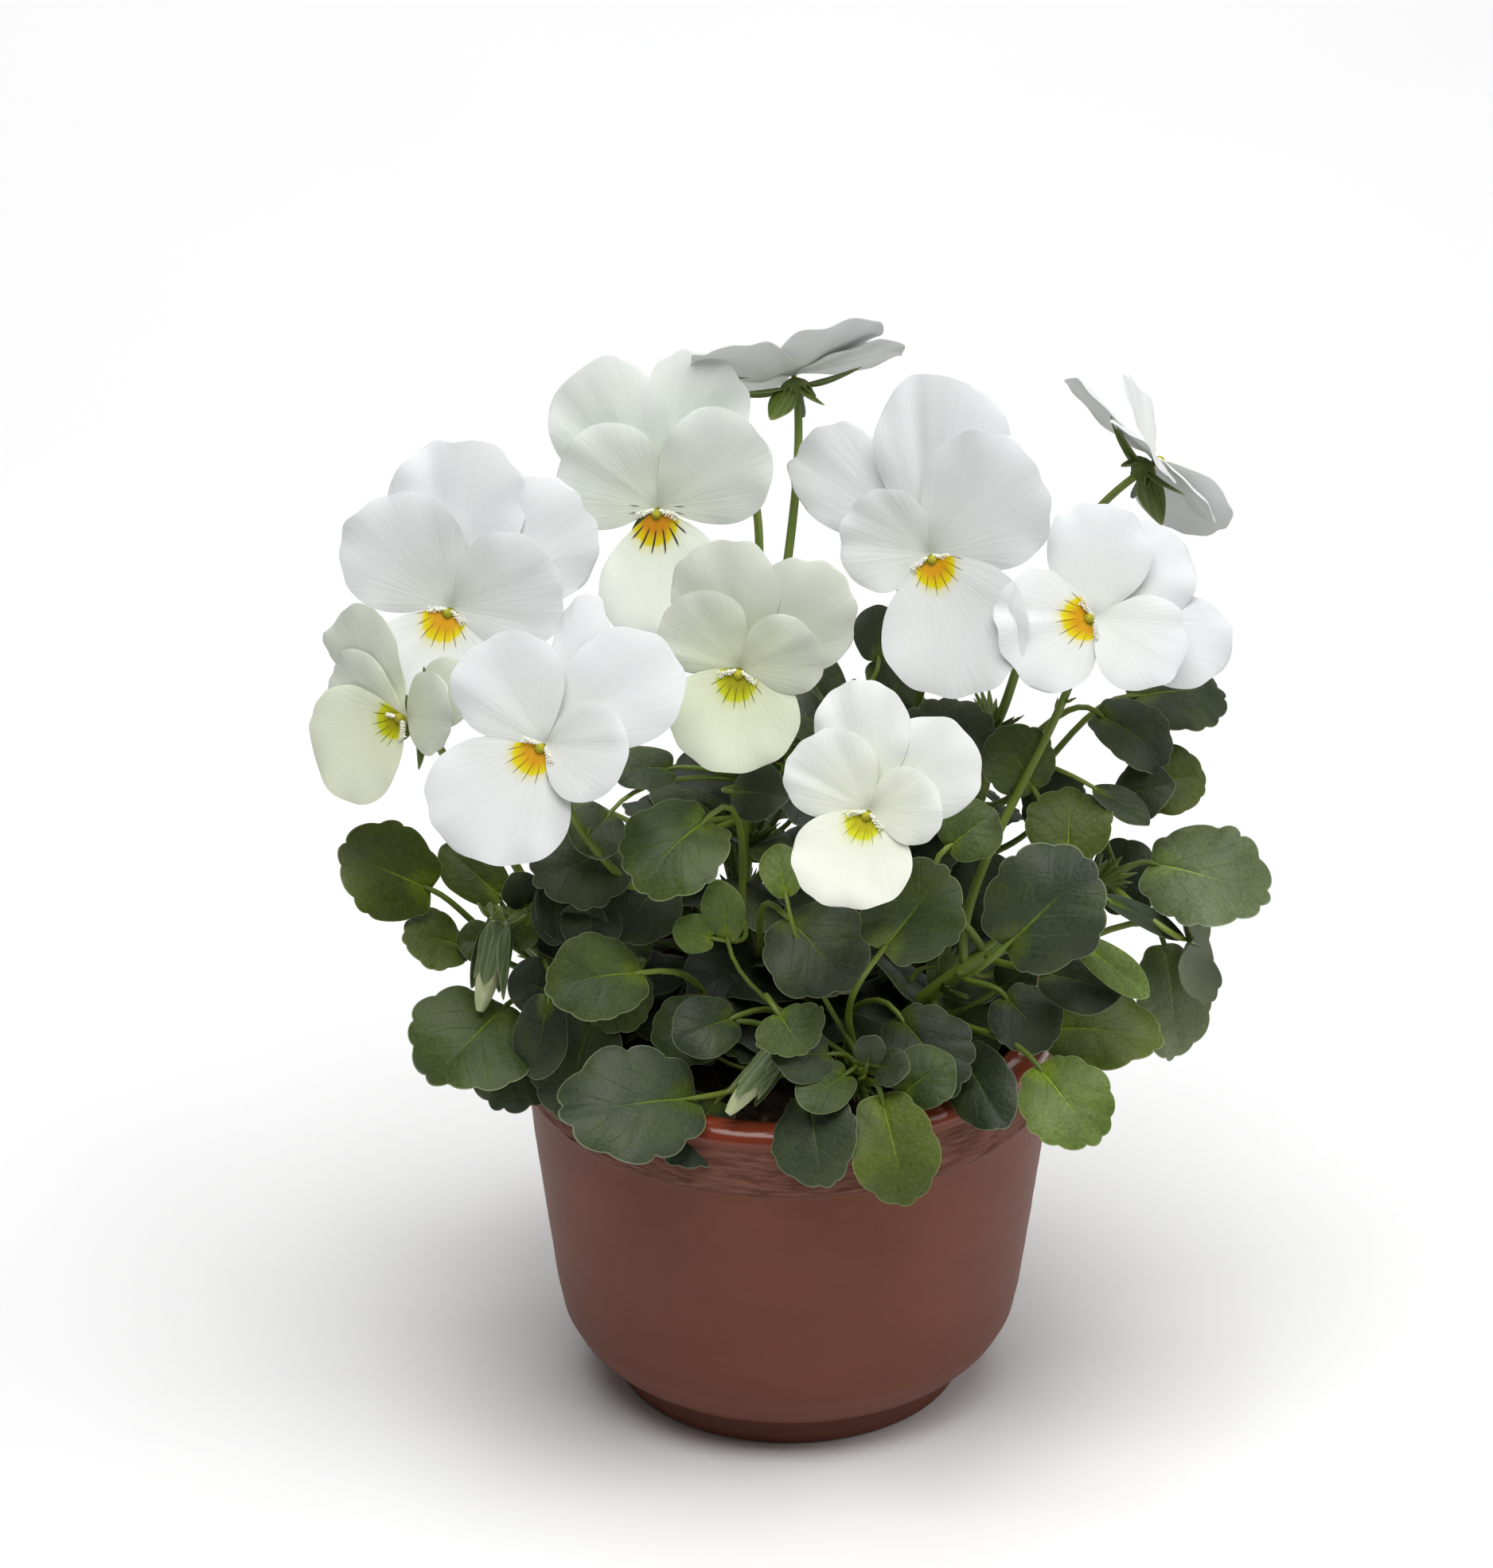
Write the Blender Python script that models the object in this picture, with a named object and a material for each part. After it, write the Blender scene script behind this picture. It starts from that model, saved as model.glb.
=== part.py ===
"""A white pansy growing in a squat clay pot.

The pot stands on its flat foot with its axis on Z and the foot at z = 0.  The
plant is built the way it grows: short stems leave the soil, each leaf's
petiole and each flower's stalk starts at a stem, and each flower is one
corolla seated in front of its calyx.  The tables below are in millimetres and
degrees; the meshes are in metres.

Directions are given as (azimuth, elevation): azimuth 0 looks to the front
(-Y) and grows towards +X, elevation is above the horizontal.
"""
import math

import bpy
from mathutils import Vector

MM = 0.001
GAP = 0.4  # clear space between a piece and what carries it, mm
SEAT_GAP = 0.7  # the same behind a cupped flower

# Pot
ROUND_SIDES = 40
POT_HEIGHT = 93.4
RIM_RADIUS = 61.2
FOOT_RADIUS = 37.5
FLOOR_THICKNESS = 7.6
SOIL_LEVEL = 80.0
SOIL_RADIUS = 52.3
SOIL_CROWN = 2.5

# Plant
STEM_SIDES = 6
STALK_SIDES = 6
STALK_RADIUS = 1.0
PETIOLE_RADIUS = 0.9
BLADE_THICKNESS = 0.8
PETAL_THICKNESS = 0.8
COROLLA_SIDES = 30
COROLLA_RINGS = (0.5, 1.0)
CALYX_RADIUS = 3.6
CALYX_LENGTH = 5.0
NECK_RADIUS = 1.4  # where the stalk swells into the calyx
PETAL_FULLNESS = 0.42  # power that rounds off a petal's outline
THROAT_RADIUS = 9.0  # least reach of a flower between two petals
LEAF_SIDES = 6
LEAF_SWELL = 1.15  # a six-sided section is filled out to the blade's thickness
LEAF_STATIONS = (0.07, 0.2, 0.38, 0.56, 0.74, 0.88, 0.96, 1.0)
BUD_STALK_RADIUS = 0.8
# Shares of a bud's length and its radius there, as a share of the body's (0: stalk)
BUD_STATIONS = (
    (0, 0), (0.12, 0), (0.24, 0), (0.36, 0), (0.48, 0), (0.6, 0),
    (0.68, 0.45), (0.76, 0.85), (0.85, 1.0), (0.93, 0.75), (1.0, 0.3),
)

# Radius and height of the pot's outer skin, from the foot up to the rim's inner edge
POT_OUTER = (
    (FOOT_RADIUS, 0.0), (39.4, 0.9), (40.0, 2.8), (39.4, 4.8), (43.5, 6.6), (46.8, 8.8),
    (49.5, 12.0), (51.8, 17.0), (53.5, 25.0), (56.3, 45.0), (58.6, 63.0), (59.8, 76.8),
    (60.8, 77.8), (RIM_RADIUS, 84.0), (60.8, 88.2), (61.3, 90.4), (60.2, 92.6),
    (57.0, POT_HEIGHT), (54.0, 92.8), (52.5, 90.8),
)
# The inner skin, from the rim down to the floor
POT_INNER = (
    (52.4, 87.0), (53.2, 82.0), (52.8, 72.0), (50.4, 45.0), (48.0, 25.0), (44.0, 13.0), (36.0, 8.6),
)

# name: (place on the soil, points from there to the growing tip, radius at each end)
STEMS = {
    "stem_left": ((-12, -4), ((-16, -5, 88), (-34, -8, 95), (-52, -10, 107), (-64, -10, 120)), 2.2, 1.4),
    "stem_front": ((5, -14), ((6, -16, 87), (12, -29, 92), (17, -42, 99)), 1.9, 1.4),
    "stem_right": (
        (12, -5), ((13, -6, 87), (26, -15, 99), (38, -21, 113), (57, -14, 124), (74, -6, 131)), 2.2, 1.3),
    "stem_tall": ((9, 8), ((11, 8, 88), (24, 9, 110), (41, 6, 138), (47, 8, 165)), 2.2, 1.3),
    "stem_middle": ((-4, 4), ((-5, 4, 88), (-10, 0, 112), (-9, 2, 140), (0, 6, 166)), 2.2, 1.3),
    "stem_back": ((-3, 16), ((-4, 18, 88), (-12, 32, 106), (-18, 44, 128)), 2.0, 1.3),
}

# Each flower: the stem that carries it and where along it (0 soil, 1 tip), the
# throat's place, the way it faces, and five petals given as (clock angle seen
# from the front, length, half spread, forward tilt, tip curl)
FLOWERS = {
    "01": ("stem_left", 0.70, (-78, 8, 186), (-12, 22), (
        (3, 43, 58, 4, -3), (58, 42, 56, 4, -3),
        (318, 32, 62, 12, 0), (66, 30, 62, 12, 0), (198, 28, 60, 14, 0))),
    "02": ("stem_middle", 0.75, (-31, 18, 205), (-5, 15), (
        (337, 40, 58, 2, -2), (20, 42, 50, 2, -2),
        (304, 25, 66, 8, 0), (52, 32, 62, 8, 0), (181, 26, 62, 10, 0))),
    "03": ("stem_middle", 0.97, (2, 41, 233), (-162, 51), (
        (12, 26, 60, 6, 2), (84, 24, 56, 6, 2),
        (286, 24, 56, 4, 0), (212, 26, 56, 4, 0), (150, 26, 56, 4, 0))),
    "04": ("stem_tall", 0.45, (30, 0, 204), (-22, 20), (
        (355, 44, 60, 3, -3), (312, 38, 46, -4, -4),
        (300, 25, 60, 14, 2), (48, 34, 64, 12, 2), (148, 28, 66, 14, 0))),
    "05": ("stem_tall", 0.97, (82, 30, 217), (108, 40), (
        (10, 24, 56, 8, 0), (300, 26, 56, 4, 0),
        (250, 24, 56, 4, 0), (60, 24, 56, 10, 2), (170, 26, 60, 14, 4))),
    "06": ("stem_right", 0.62, (67, -10, 196), (15, 30), (
        (50, 29, 56, 2, -2), (99, 33, 52, 0, -2),
        (6, 27, 64, 8, 0), (112, 26, 60, 12, 0), (252, 24, 66, 14, 0))),
    "07": ("stem_middle", 0.60, (-11, -28, 191), (-8, 18), (
        (346, 32, 62, 3, -2), (50, 28, 58, 2, -2),
        (308, 22, 62, 10, 0), (76, 21, 60, 12, 0), (184, 26, 62, 12, 0))),
    "08": ("stem_middle", 0.24, (-55, -48, 180), (-10, 28), (
        (50, 36, 52, 2, -2), (14, 40, 30, 0, -2),
        (340, 31, 56, 10, 0), (82, 21, 64, 16, 0), (224, 33, 66, 12, 0))),
    "09": ("stem_left", 0.86, (-87, -20, 177), (-50, 20), (
        (345, 26, 52, 0, -4), (40, 22, 50, -2, -2),
        (306, 22, 46, 10, 0), (78, 18, 60, 10, 0), (228, 27, 66, 10, 0))),
    "10": ("stem_right", 0.28, (17, -62, 172), (-8, 25), (
        (358, 33, 56, 3, -2), (52, 28, 56, 2, -2),
        (320, 21, 60, 12, 0), (78, 17, 60, 14, 0), (204, 24, 66, 12, 0))),
}

# Each leaf: the stem that carries it and where along it, the place of the
# blade's base and of its tip, the blade's width, the way its upper side faces,
# how far its midrib arches up and how far its sides rise (share of the width)
LEAVES = {
    "01": ("stem_left", 0.93, (-80, -12, 130), (-101, -16, 142), 24, (-10, 35), 1.5, 0.06),
    "02": ("stem_left", 0.80, (-73, -14, 116), (-87, -20, 121), 16, (-20, 60), 1.0, 0.05),
    "03": ("stem_left", 0.56, (-66, -29, 105), (-81, -46, 98), 27, (-5, 40), 2.5, 0.04),
    "04": ("stem_left", 0.42, (-60, -20, 97), (-71, -28, 84), 20, (-30, 20), 1.5, 0.04),
    "05": ("stem_left", 0.35, (-33, -42, 124), (-54, -52, 125), 20, (-10, 45), 2.5, 0.06),
    "06": ("stem_left", 0.18, (-20, -54, 99), (-51, -67, 101), 28, (-5, 40), 3.0, 0.04),
    "07": ("stem_middle", 0.50, (-18, -30, 157), (-34, -46, 147), 24, (-5, 50), 2.5, 0.04),
    "08": ("stem_middle", 0.30, (-42, -9, 135), (-47, -24, 124), 18, (0, 40), 2.0, 0.04),
    "09": ("stem_middle", 0.10, (-12, -42, 113), (-26, -50, 111), 15, (0, 40), 1.5, 0.04),
    "10": ("stem_front", 0.60, (-3, -53, 120), (3, -61, 114), 17, (0, 40), 1.0, 0.12),
    "11": ("stem_middle", 0.45, (-1, -36, 135), (13, -50, 124), 25, (0, 45), 2.5, 0.04),
    "12": ("stem_front", 0.92, (20, -58, 138), (34, -53, 156), 23, (5, 25), 2.0, 0.05),
    "13": ("stem_right", 0.60, (47, -46, 132), (67, -43, 152), 28, (0, 30), 2.0, 0.05),
    "14": ("stem_right", 0.72, (62, -20, 140), (63, -8, 153), 20, (0, 40), 1.5, 0.05),
    "15": ("stem_right", 0.97, (81, -8, 133), (107, -16, 132), 22, (10, 45), 3.0, 0.06),
    "16": ("stem_tall", 0.78, (79, 15, 161), (100, 26, 164), 20, (0, 85), 2.0, 0.05),
    "17": ("stem_right", 0.90, (77, 6, 143), (94, 8, 148), 18, (0, 80), 1.5, 0.05),
    "18": ("stem_tall", 0.90, (68, 4, 165), (86, -2, 157), 16, (40, 60), 1.5, 0.08),
    "19": ("stem_right", 0.80, (91, -16, 124), (98, -24, 105), 16, (-80, 20), 1.5, 0.10),
    "20": ("stem_right", 0.62, (87, -6, 110), (86, -16, 88), 18, (50, 10), 1.5, 0.06),
    "21": ("stem_right", 0.30, (57, -20, 98), (84, -28, 99), 20, (20, 50), 2.5, 0.05),
    "22": ("stem_right", 0.50, (55, -46, 103), (68, -61, 91), 21, (5, 35), 2.0, 0.05),
    "23": ("stem_front", 0.55, (38, -37, 102), (48, -57, 93), 16, (-40, 45), 1.5, 0.05),
    "24": ("stem_front", 0.98, (20, -60, 103), (26, -71, 81), 20, (0, 35), 2.0, 0.05),
    "25": ("stem_front", 0.65, (3, -57, 101), (11, -72, 86), 18, (-20, 30), 2.0, 0.05),
    "26": ("stem_right", 0.20, (23, -33, 105), (37, -50, 97), 19, (10, 35), 2.5, 0.05),
    "27": ("stem_front", 0.80, (24, -54, 99), (36, -50, 107), 15, (0, 40), 1.0, 0.05),
    "28": ("stem_back", 0.60, (-44, 52, 116), (-66, 62, 108), 26, (-140, 50), 2.5, 0.05),
    "29": ("stem_back", 0.97, (-12, 60, 132), (-8, 84, 124), 27, (175, 50), 3.0, 0.05),
    "30": ("stem_back", 0.35, (22, 52, 108), (40, 70, 100), 27, (150, 50), 3.0, 0.05),
}

# Each bud: stem, place along it, points from there to the bud's tip, body radius
BUDS = {
    "bud_left": ("stem_left", 0.98, ((-66, -19, 128), (-65, -28, 125), (-68, -34, 109)), 4.0),
    "bud_front": ("stem_front", 0.30, ((-1, -40, 104), (-4, -50, 107), (-13, -58, 99)), 3.6),
}


def direction(azimuth, elevation):
    """The unit vector that points the given way."""
    a, e = math.radians(azimuth), math.radians(elevation)
    return Vector((math.sin(a) * math.cos(e), -math.cos(a) * math.cos(e), math.sin(e)))


def across(vector, axis):
    """The unit part of vector that is square to axis."""
    return (vector - axis * vector.dot(axis)).normalized()


def along_path(points, t):
    """The point at share t of a smooth (Catmull-Rom) curve through the points."""
    pts = [Vector(p) for p in points]
    pts = [2 * pts[0] - pts[1]] + pts + [2 * pts[-1] - pts[-2]]
    place = min(max(t, 0.0), 1.0) * (len(pts) - 3)
    i = min(int(place), len(pts) - 4)
    u = place - i
    a, b, c, d = pts[i:i + 4]
    return 0.5 * (2 * b + (c - a) * u + (2 * a - 5 * b + 4 * c - d) * u ** 2
                  + (3 * b - 3 * c + d - a) * u ** 3)


def bezier(a, b, c, d, steps):
    """Points along a cubic Bezier curve, both ends included."""
    points = []
    for i in range(steps + 1):
        t = i / steps
        s = 1 - t
        points.append(s ** 3 * a + 3 * s * s * t * b + 3 * s * t * t * c + t ** 3 * d)
    return points


def soil_height(x, y):
    """Height of the domed soil surface above the foot."""
    return SOIL_LEVEL + SOIL_CROWN * (1 - (x * x + y * y) / SOIL_RADIUS ** 2)


def stem_path(name):
    """Points along a stem, from just above the soil to its growing tip."""
    foot, points = STEMS[name][:2]
    route = ((*foot, soil_height(*foot) + GAP),) + points
    steps = 3 * len(points)
    return [along_path(route, i / steps) for i in range(steps + 1)]


def start_on_stem(stem, share, goal):
    """Where a petiole or stalk leaves its stem for the goal, and the way it leaves."""
    low, tip = STEMS[stem][2:]
    path = stem_path(stem)
    place = share * (len(path) - 1)
    i = min(int(place), len(path) - 2)
    centre = path[i].lerp(path[i + 1], place - i)
    outward = across(goal - centre, (path[i + 1] - path[i]).normalized())
    return centre + outward * (low + (tip - low) * share + GAP), outward


def tangents(path, first=None):
    """The way a path runs at each of its points; the first can be given."""
    last = len(path) - 1
    ways = [(path[min(i + 1, last)] - path[max(i - 1, 0)]).normalized() for i in range(last + 1)]
    return [first or ways[0]] + ways[1:]


def sides_back_from(side, ways):
    """Side vectors along a path, carried back from its end without twist."""
    sides = [side]
    for way in reversed(ways[:-1]):
        sides.append(across(sides[-1], way))
    return sides[::-1]


def loft(rings):
    """Vertices and faces of a closed skin through rings of equal count."""
    count = len(rings[0])
    verts = [v for ring in rings for v in ring]
    faces = [tuple(reversed(range(count)))]
    for r in range(len(rings) - 1):
        for k in range(count):
            a, b = r * count + k, r * count + (k + 1) % count
            faces.append((a, b, b + count, a + count))
    top = (len(rings) - 1) * count
    faces.append(tuple(range(top, top + count)))
    return verts, faces


def tube_rings(path, radii, sides, end_side, first=None):
    """Rings of a round bar along a path, its section square to the path."""
    rings = []
    ways = tangents(path, first)
    for point, radius, way, side in zip(path, radii, ways, sides_back_from(end_side, ways)):
        other = way.cross(side)
        rings.append([point + radius * (side * math.cos(a) + other * math.sin(a))
                      for a in (math.tau * k / sides for k in range(sides))])
    return rings


def material(name, colour, roughness):
    """A plain Principled material."""
    made = bpy.data.materials.new(name)
    made.use_nodes = True
    shader = made.node_tree.nodes["Principled BSDF"]
    shader.inputs["Base Color"].default_value = (*colour, 1.0)
    shader.inputs["Roughness"].default_value = roughness
    shader.inputs["Metallic"].default_value = 0.0
    made.diffuse_color = (*colour, 1.0)
    return made


def add_object(name, verts, faces, look, origin, parent):
    """One named solid whose own origin is where it is carried."""
    origin = Vector(origin)
    mesh = bpy.data.meshes.new(name)
    mesh.from_pydata([(Vector(v) - origin) * MM for v in verts], [], faces)
    mesh.materials.append(look)
    mesh.shade_smooth()
    mesh.set_sharp_from_angle(angle=math.radians(40))
    made = bpy.data.objects.new(name, mesh)
    bpy.context.collection.objects.link(made)
    made.parent = parent
    made.location = origin * MM
    return made


def turned(profile):
    """Vertices and faces of a solid turned about Z from (radius, height) points.

    The profile runs from the axis at the bottom, out and up and back to the axis.
    """
    verts = [Vector((0, 0, profile[0][1])), Vector((0, 0, profile[-1][1]))]
    rings = profile[1:-1]
    for radius, height in rings:
        for k in range(ROUND_SIDES):
            a = math.tau * k / ROUND_SIDES
            verts.append(Vector((radius * math.cos(a), radius * math.sin(a), height)))
    faces = []
    top = 2 + (len(rings) - 1) * ROUND_SIDES
    for k in range(ROUND_SIDES):
        n = (k + 1) % ROUND_SIDES
        faces.append((0, 2 + n, 2 + k))
        faces.append((1, top + k, top + n))
        for r in range(len(rings) - 1):
            row = 2 + r * ROUND_SIDES
            faces.append((row + k, row + n, row + n + ROUND_SIDES, row + k + ROUND_SIDES))
    return verts, faces


def make_pot(look, parent):
    """The pot: foot, curved belly, straight wall, banded rim and closed floor."""
    profile = ((0, 0),) + POT_OUTER + POT_INNER + ((0, FLOOR_THICKNESS),)
    verts, faces = turned(profile)
    return add_object("pot", verts, faces, look, (0, 0, 0), parent)


def make_soil(look, parent):
    """The root ball: it fills the pot up to the soil level and is slightly domed."""
    wall = [(r - GAP, z + 0.6 * GAP) for r, z in reversed(POT_INNER) if z < SOIL_LEVEL]
    dome = [(SOIL_RADIUS * s, soil_height(SOIL_RADIUS * s, 0)) for s in (1.0, 0.75, 0.4)]
    profile = [(0, FLOOR_THICKNESS + GAP)] + wall + dome + [(0, soil_height(0, 0))]
    verts, faces = turned(profile)
    return add_object("soil", verts, faces, look, (0, 0, FLOOR_THICKNESS), parent)


def make_stem(name, look, parent):
    """A stem: a tapering bar that starts just clear of the soil."""
    low, tip = STEMS[name][2:]
    path = stem_path(name)
    radii = [low + (tip - low) * i / (len(path) - 1) for i in range(len(path))]
    side = across(Vector((0, 1, 0)), tangents(path)[-1])
    verts, faces = loft(tube_rings(path, radii, STEM_SIDES, side, Vector((0, 0, 1))))
    return add_object(name, verts, faces, look, path[0], parent)


def blade_half_width(share, width):
    """Half the width of a rounded, broad-based leaf at a share of its length."""
    swell = max(math.sin(math.pi * share ** 0.85), 0.0) ** 0.55
    return max(0.5 * width * swell, PETIOLE_RADIUS)


def make_leaf(number, look, parent):
    """A leaf: one solid that runs from the petiole's foot to the blade's tip."""
    stem, share, base, tip, width, faces_to, arch, rise = LEAVES[number]
    base, tip = Vector(base), Vector(tip)
    axis = (tip - base).normalized()
    normal = across(direction(*faces_to), axis)
    side = normal.cross(axis)
    start, outward = start_on_stem(stem, share, base)
    reach = (base - start).length
    petiole = bezier(start, start + outward * 0.3 * reach, base - axis * 0.35 * reach, base, 6)
    rings = tube_rings(petiole, [PETIOLE_RADIUS] * len(petiole), LEAF_SIDES, side, outward)
    for s in LEAF_STATIONS:
        half = blade_half_width(s, width)
        centre = base.lerp(tip, s) + normal * arch * 4 * s * (1 - s)
        ring = []
        for k in range(LEAF_SIDES):
            a = math.tau * k / LEAF_SIDES
            x = half * math.cos(a)
            up = rise * x * x / (0.25 * width) + 0.5 * BLADE_THICKNESS * LEAF_SWELL * math.sin(a)
            ring.append(centre + side * x + normal * up)
        rings.append(ring)
    verts, faces = loft(rings)
    return add_object("leaf_" + number, verts, faces, look, start, parent)


def flower_axes(faces_to):
    """Right, up and forward of a flower, as seen from its front."""
    forward = direction(*faces_to)
    up = across(Vector((0, 0, 1)), forward)
    return up.cross(forward), up, forward


def petal_reach(petal, angle):
    """Length of a petal in the direction of a clock angle, 0 outside its spread."""
    clock, length, spread = petal[:3]
    away = (angle - clock + 180) % 360 - 180
    if abs(away) >= spread:
        return 0.0
    return length * math.cos(math.radians(90 * away / spread)) ** PETAL_FULLNESS


def make_corolla(number, look, parent):
    """A flower's five overlapping petals as one cupped, lobed plate."""
    throat, faces_to, petals = FLOWERS[number][2:]
    right, up, forward = flower_axes(faces_to)
    throat = Vector(throat)
    verts = [throat + forward * 0.5 * PETAL_THICKNESS, throat - forward * 0.5 * PETAL_THICKNESS]
    for k in range(COROLLA_SIDES):
        clock = 360 * k / COROLLA_SIDES
        reaches = [petal_reach(p, clock) for p in petals]
        reach = max(*reaches, THROAT_RADIUS)
        weight = sum(r ** 3 for r in reaches) or 1.0
        tilt = sum(p[3] * r ** 3 for p, r in zip(petals, reaches)) / weight
        curl = sum(p[4] * r ** 3 for p, r in zip(petals, reaches)) / weight
        a = math.radians(clock)
        outward = right * math.sin(a) + up * math.cos(a)
        for share in COROLLA_RINGS:
            height = share * reach * math.tan(math.radians(tilt)) + curl * share ** 2
            middle = throat + outward * reach * share + forward * height
            verts.append(middle + forward * 0.5 * PETAL_THICKNESS)
            verts.append(middle - forward * 0.5 * PETAL_THICKNESS)
    faces = []
    stride = 2 * len(COROLLA_RINGS)
    for k in range(COROLLA_SIDES):
        here, there = 2 + k * stride, 2 + (k + 1) % COROLLA_SIDES * stride
        faces.append((0, there, here))
        faces.append((1, here + 1, there + 1))
        for r in range(0, stride - 2, 2):
            faces.append((here + r, there + r, there + r + 2, here + r + 2))
            faces.append((here + r + 3, there + r + 3, there + r + 1, here + r + 1))
        rim = stride - 2
        faces.append((here + rim, there + rim, there + rim + 1, here + rim + 1))
    return add_object("corolla_" + number, verts, faces, look, throat, parent)


def make_stalk(number, look, parent):
    """A flower stalk with its calyx: it hooks over behind the flower."""
    stem, share, throat, faces_to, _ = FLOWERS[number]
    right, _, forward = flower_axes(faces_to)
    throat = Vector(throat)
    seat = throat - forward * (0.5 * PETAL_THICKNESS + SEAT_GAP)
    neck = seat - forward * CALYX_LENGTH
    start, outward = start_on_stem(stem, share, throat)
    drop = (neck - start).length
    hook = bezier(start, start + outward * 7 + Vector((0, 0, 0.2 * drop)),
                  neck - forward * 9 - Vector((0, 0, 0.3 * drop)), neck, 9)
    path = hook + [neck.lerp(seat, 0.45), seat]
    radii = [STALK_RADIUS] * (len(hook) - 1) + [NECK_RADIUS, 0.9 * CALYX_RADIUS, CALYX_RADIUS]
    verts, faces = loft(tube_rings(path, radii, STALK_SIDES, right, outward))
    return add_object("flower_stalk_" + number, verts, faces, look, start, parent)


def make_bud(name, look, parent):
    """A nodding bud: a thin stalk that swells into a closed, pointed body."""
    stem, share, points, body = BUDS[name]
    start, outward = start_on_stem(stem, share, Vector(points[0]))
    route = (start,) + tuple(points)
    path = [along_path(route, share) for share, _ in BUD_STATIONS]
    radii = [max(body * swell, BUD_STALK_RADIUS) for _, swell in BUD_STATIONS]
    side = across(Vector((1, 0, 0)), tangents(path)[-1])
    verts, faces = loft(tube_rings(path, radii, STALK_SIDES, side, outward))
    return add_object(name, verts, faces, look, start, parent)


def main():
    for old in list(bpy.data.objects):
        bpy.data.objects.remove(old, do_unlink=True)
    clay = material("clay", (0.36, 0.16, 0.12), 0.7)
    earth = material("earth", (0.03, 0.022, 0.016), 0.95)
    shoot = material("shoot_green", (0.16, 0.26, 0.05), 0.55)
    leaf_green = material("leaf_green", (0.09, 0.13, 0.06), 0.6)
    petal_white = material("petal_white", (0.86, 0.87, 0.86), 0.55)
    bud_green = material("bud_green", (0.25, 0.33, 0.16), 0.6)

    planter = bpy.data.objects.new("planter", None)
    bpy.context.collection.objects.link(planter)
    make_pot(clay, planter)
    make_soil(earth, planter)
    for name in STEMS:
        make_stem(name, shoot, planter)
    for number in FLOWERS:
        make_stalk(number, shoot, planter)
        make_corolla(number, petal_white, planter)
    for number in LEAVES:
        make_leaf(number, leaf_green, planter)
    for name in BUDS:
        make_bud(name, bud_green, planter)


main()
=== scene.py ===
"""The looks of a white pansy growing in a squat clay pot.

Lengths in the tables and in the functions that make skins are in millimetres,
those of meshes, finishes and the stage in metres, and angles in degrees.
Directions are given as (azimuth, elevation): azimuth 0 looks to the front (-Y)
and grows towards +X, elevation is above the horizontal.
"""
import math

import bpy
import numpy as np
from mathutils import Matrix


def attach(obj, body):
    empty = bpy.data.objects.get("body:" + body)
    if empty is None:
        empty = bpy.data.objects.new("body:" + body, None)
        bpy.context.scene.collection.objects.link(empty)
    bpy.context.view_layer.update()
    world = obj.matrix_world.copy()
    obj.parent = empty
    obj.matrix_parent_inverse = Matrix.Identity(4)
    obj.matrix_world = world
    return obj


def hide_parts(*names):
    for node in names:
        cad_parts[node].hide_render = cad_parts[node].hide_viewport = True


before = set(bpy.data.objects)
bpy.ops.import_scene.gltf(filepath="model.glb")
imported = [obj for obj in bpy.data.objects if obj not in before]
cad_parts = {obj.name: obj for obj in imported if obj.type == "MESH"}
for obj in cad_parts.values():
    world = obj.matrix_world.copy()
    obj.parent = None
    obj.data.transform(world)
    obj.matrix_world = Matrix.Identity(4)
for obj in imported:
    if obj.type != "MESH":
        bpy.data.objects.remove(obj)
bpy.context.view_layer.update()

bl_info = {
    "name": "White pansy in a clay pot",
    "version": (1, 0, 0),
    "blender": (4, 5, 0),
    "location": "3D View > Sidebar > Pansy",
    "description": "Builds the pot, the soil, the leaves and the flowers of a potted pansy",
    "category": "Add Mesh",
}

MM = 0.001

# ---- the plant's layout

FLOOR_THICKNESS = 7.6
BAND_BOTTOM = 77.2  # the rough band under the pot's rim
BAND_TOP = 88.0
GLAZE_BOTTOM = 90.0
SOIL_LEVEL = 80.0  # where the soil meets the pot
SOIL_RADIUS = 52.3
SOIL_CROWN = 2.5  # how much higher the soil is in the middle
SOIL_GAP = 0.35  # from the soil to the pot's wall
CRUMB_REACH = 50.0  # how far from the middle the crumbs lie
STEM_GAP = 0.4  # from the soil to a stem's solid part
STEM_ROOT = 4.0  # how far a visible stem goes on below that
PETIOLE_RADIUS = 0.82
RING_PETIOLE_RADIUS = 0.75
LEAF_THICKNESS = 0.45
LEAF_WIDTH = 24.0  # of a leaf whose waves and puckers have their full depth
TINY_LEAF_WIDTH = 15  # narrower leaves are simpler
SCALLOP_DEPTH = 0.068  # as a share of the width
STALK_RADIUS = 1.0
STALK_DEPTH = 6.2  # how far behind the throat a stalk ends
CALYX_DEPTH = 3.4  # and how far behind it the sepals start
CALYX_RADIUS = 3.0
SEPAL_THICKNESS = 0.4
PETAL_THICKNESS = 0.4
PETAL_FULLNESS = 0.38  # the power that rounds a petal's rim
BEARD_HAIRS = 64  # in each of the two tufts

# How fine the meshes are: sides of the turned skins, and for the blades the points
# round the rim and the rings from there to the middle
POT_SIDES = 176
SOIL_SIDES = 150
LARGE_LEAF_MESH = (128, 9)
SMALL_LEAF_MESH = (104, 7)
TINY_LEAF_MESH = (72, 6)
RING_LEAF_MESH = (64, 6)
PETAL_MESH = (100, 13)
SEPAL_MESH = (40, 5)
LOBE_MESH = (24, 3)
BRACT_MESH = (16, 3)
STIPULE_MESH = (10, 2)

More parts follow.
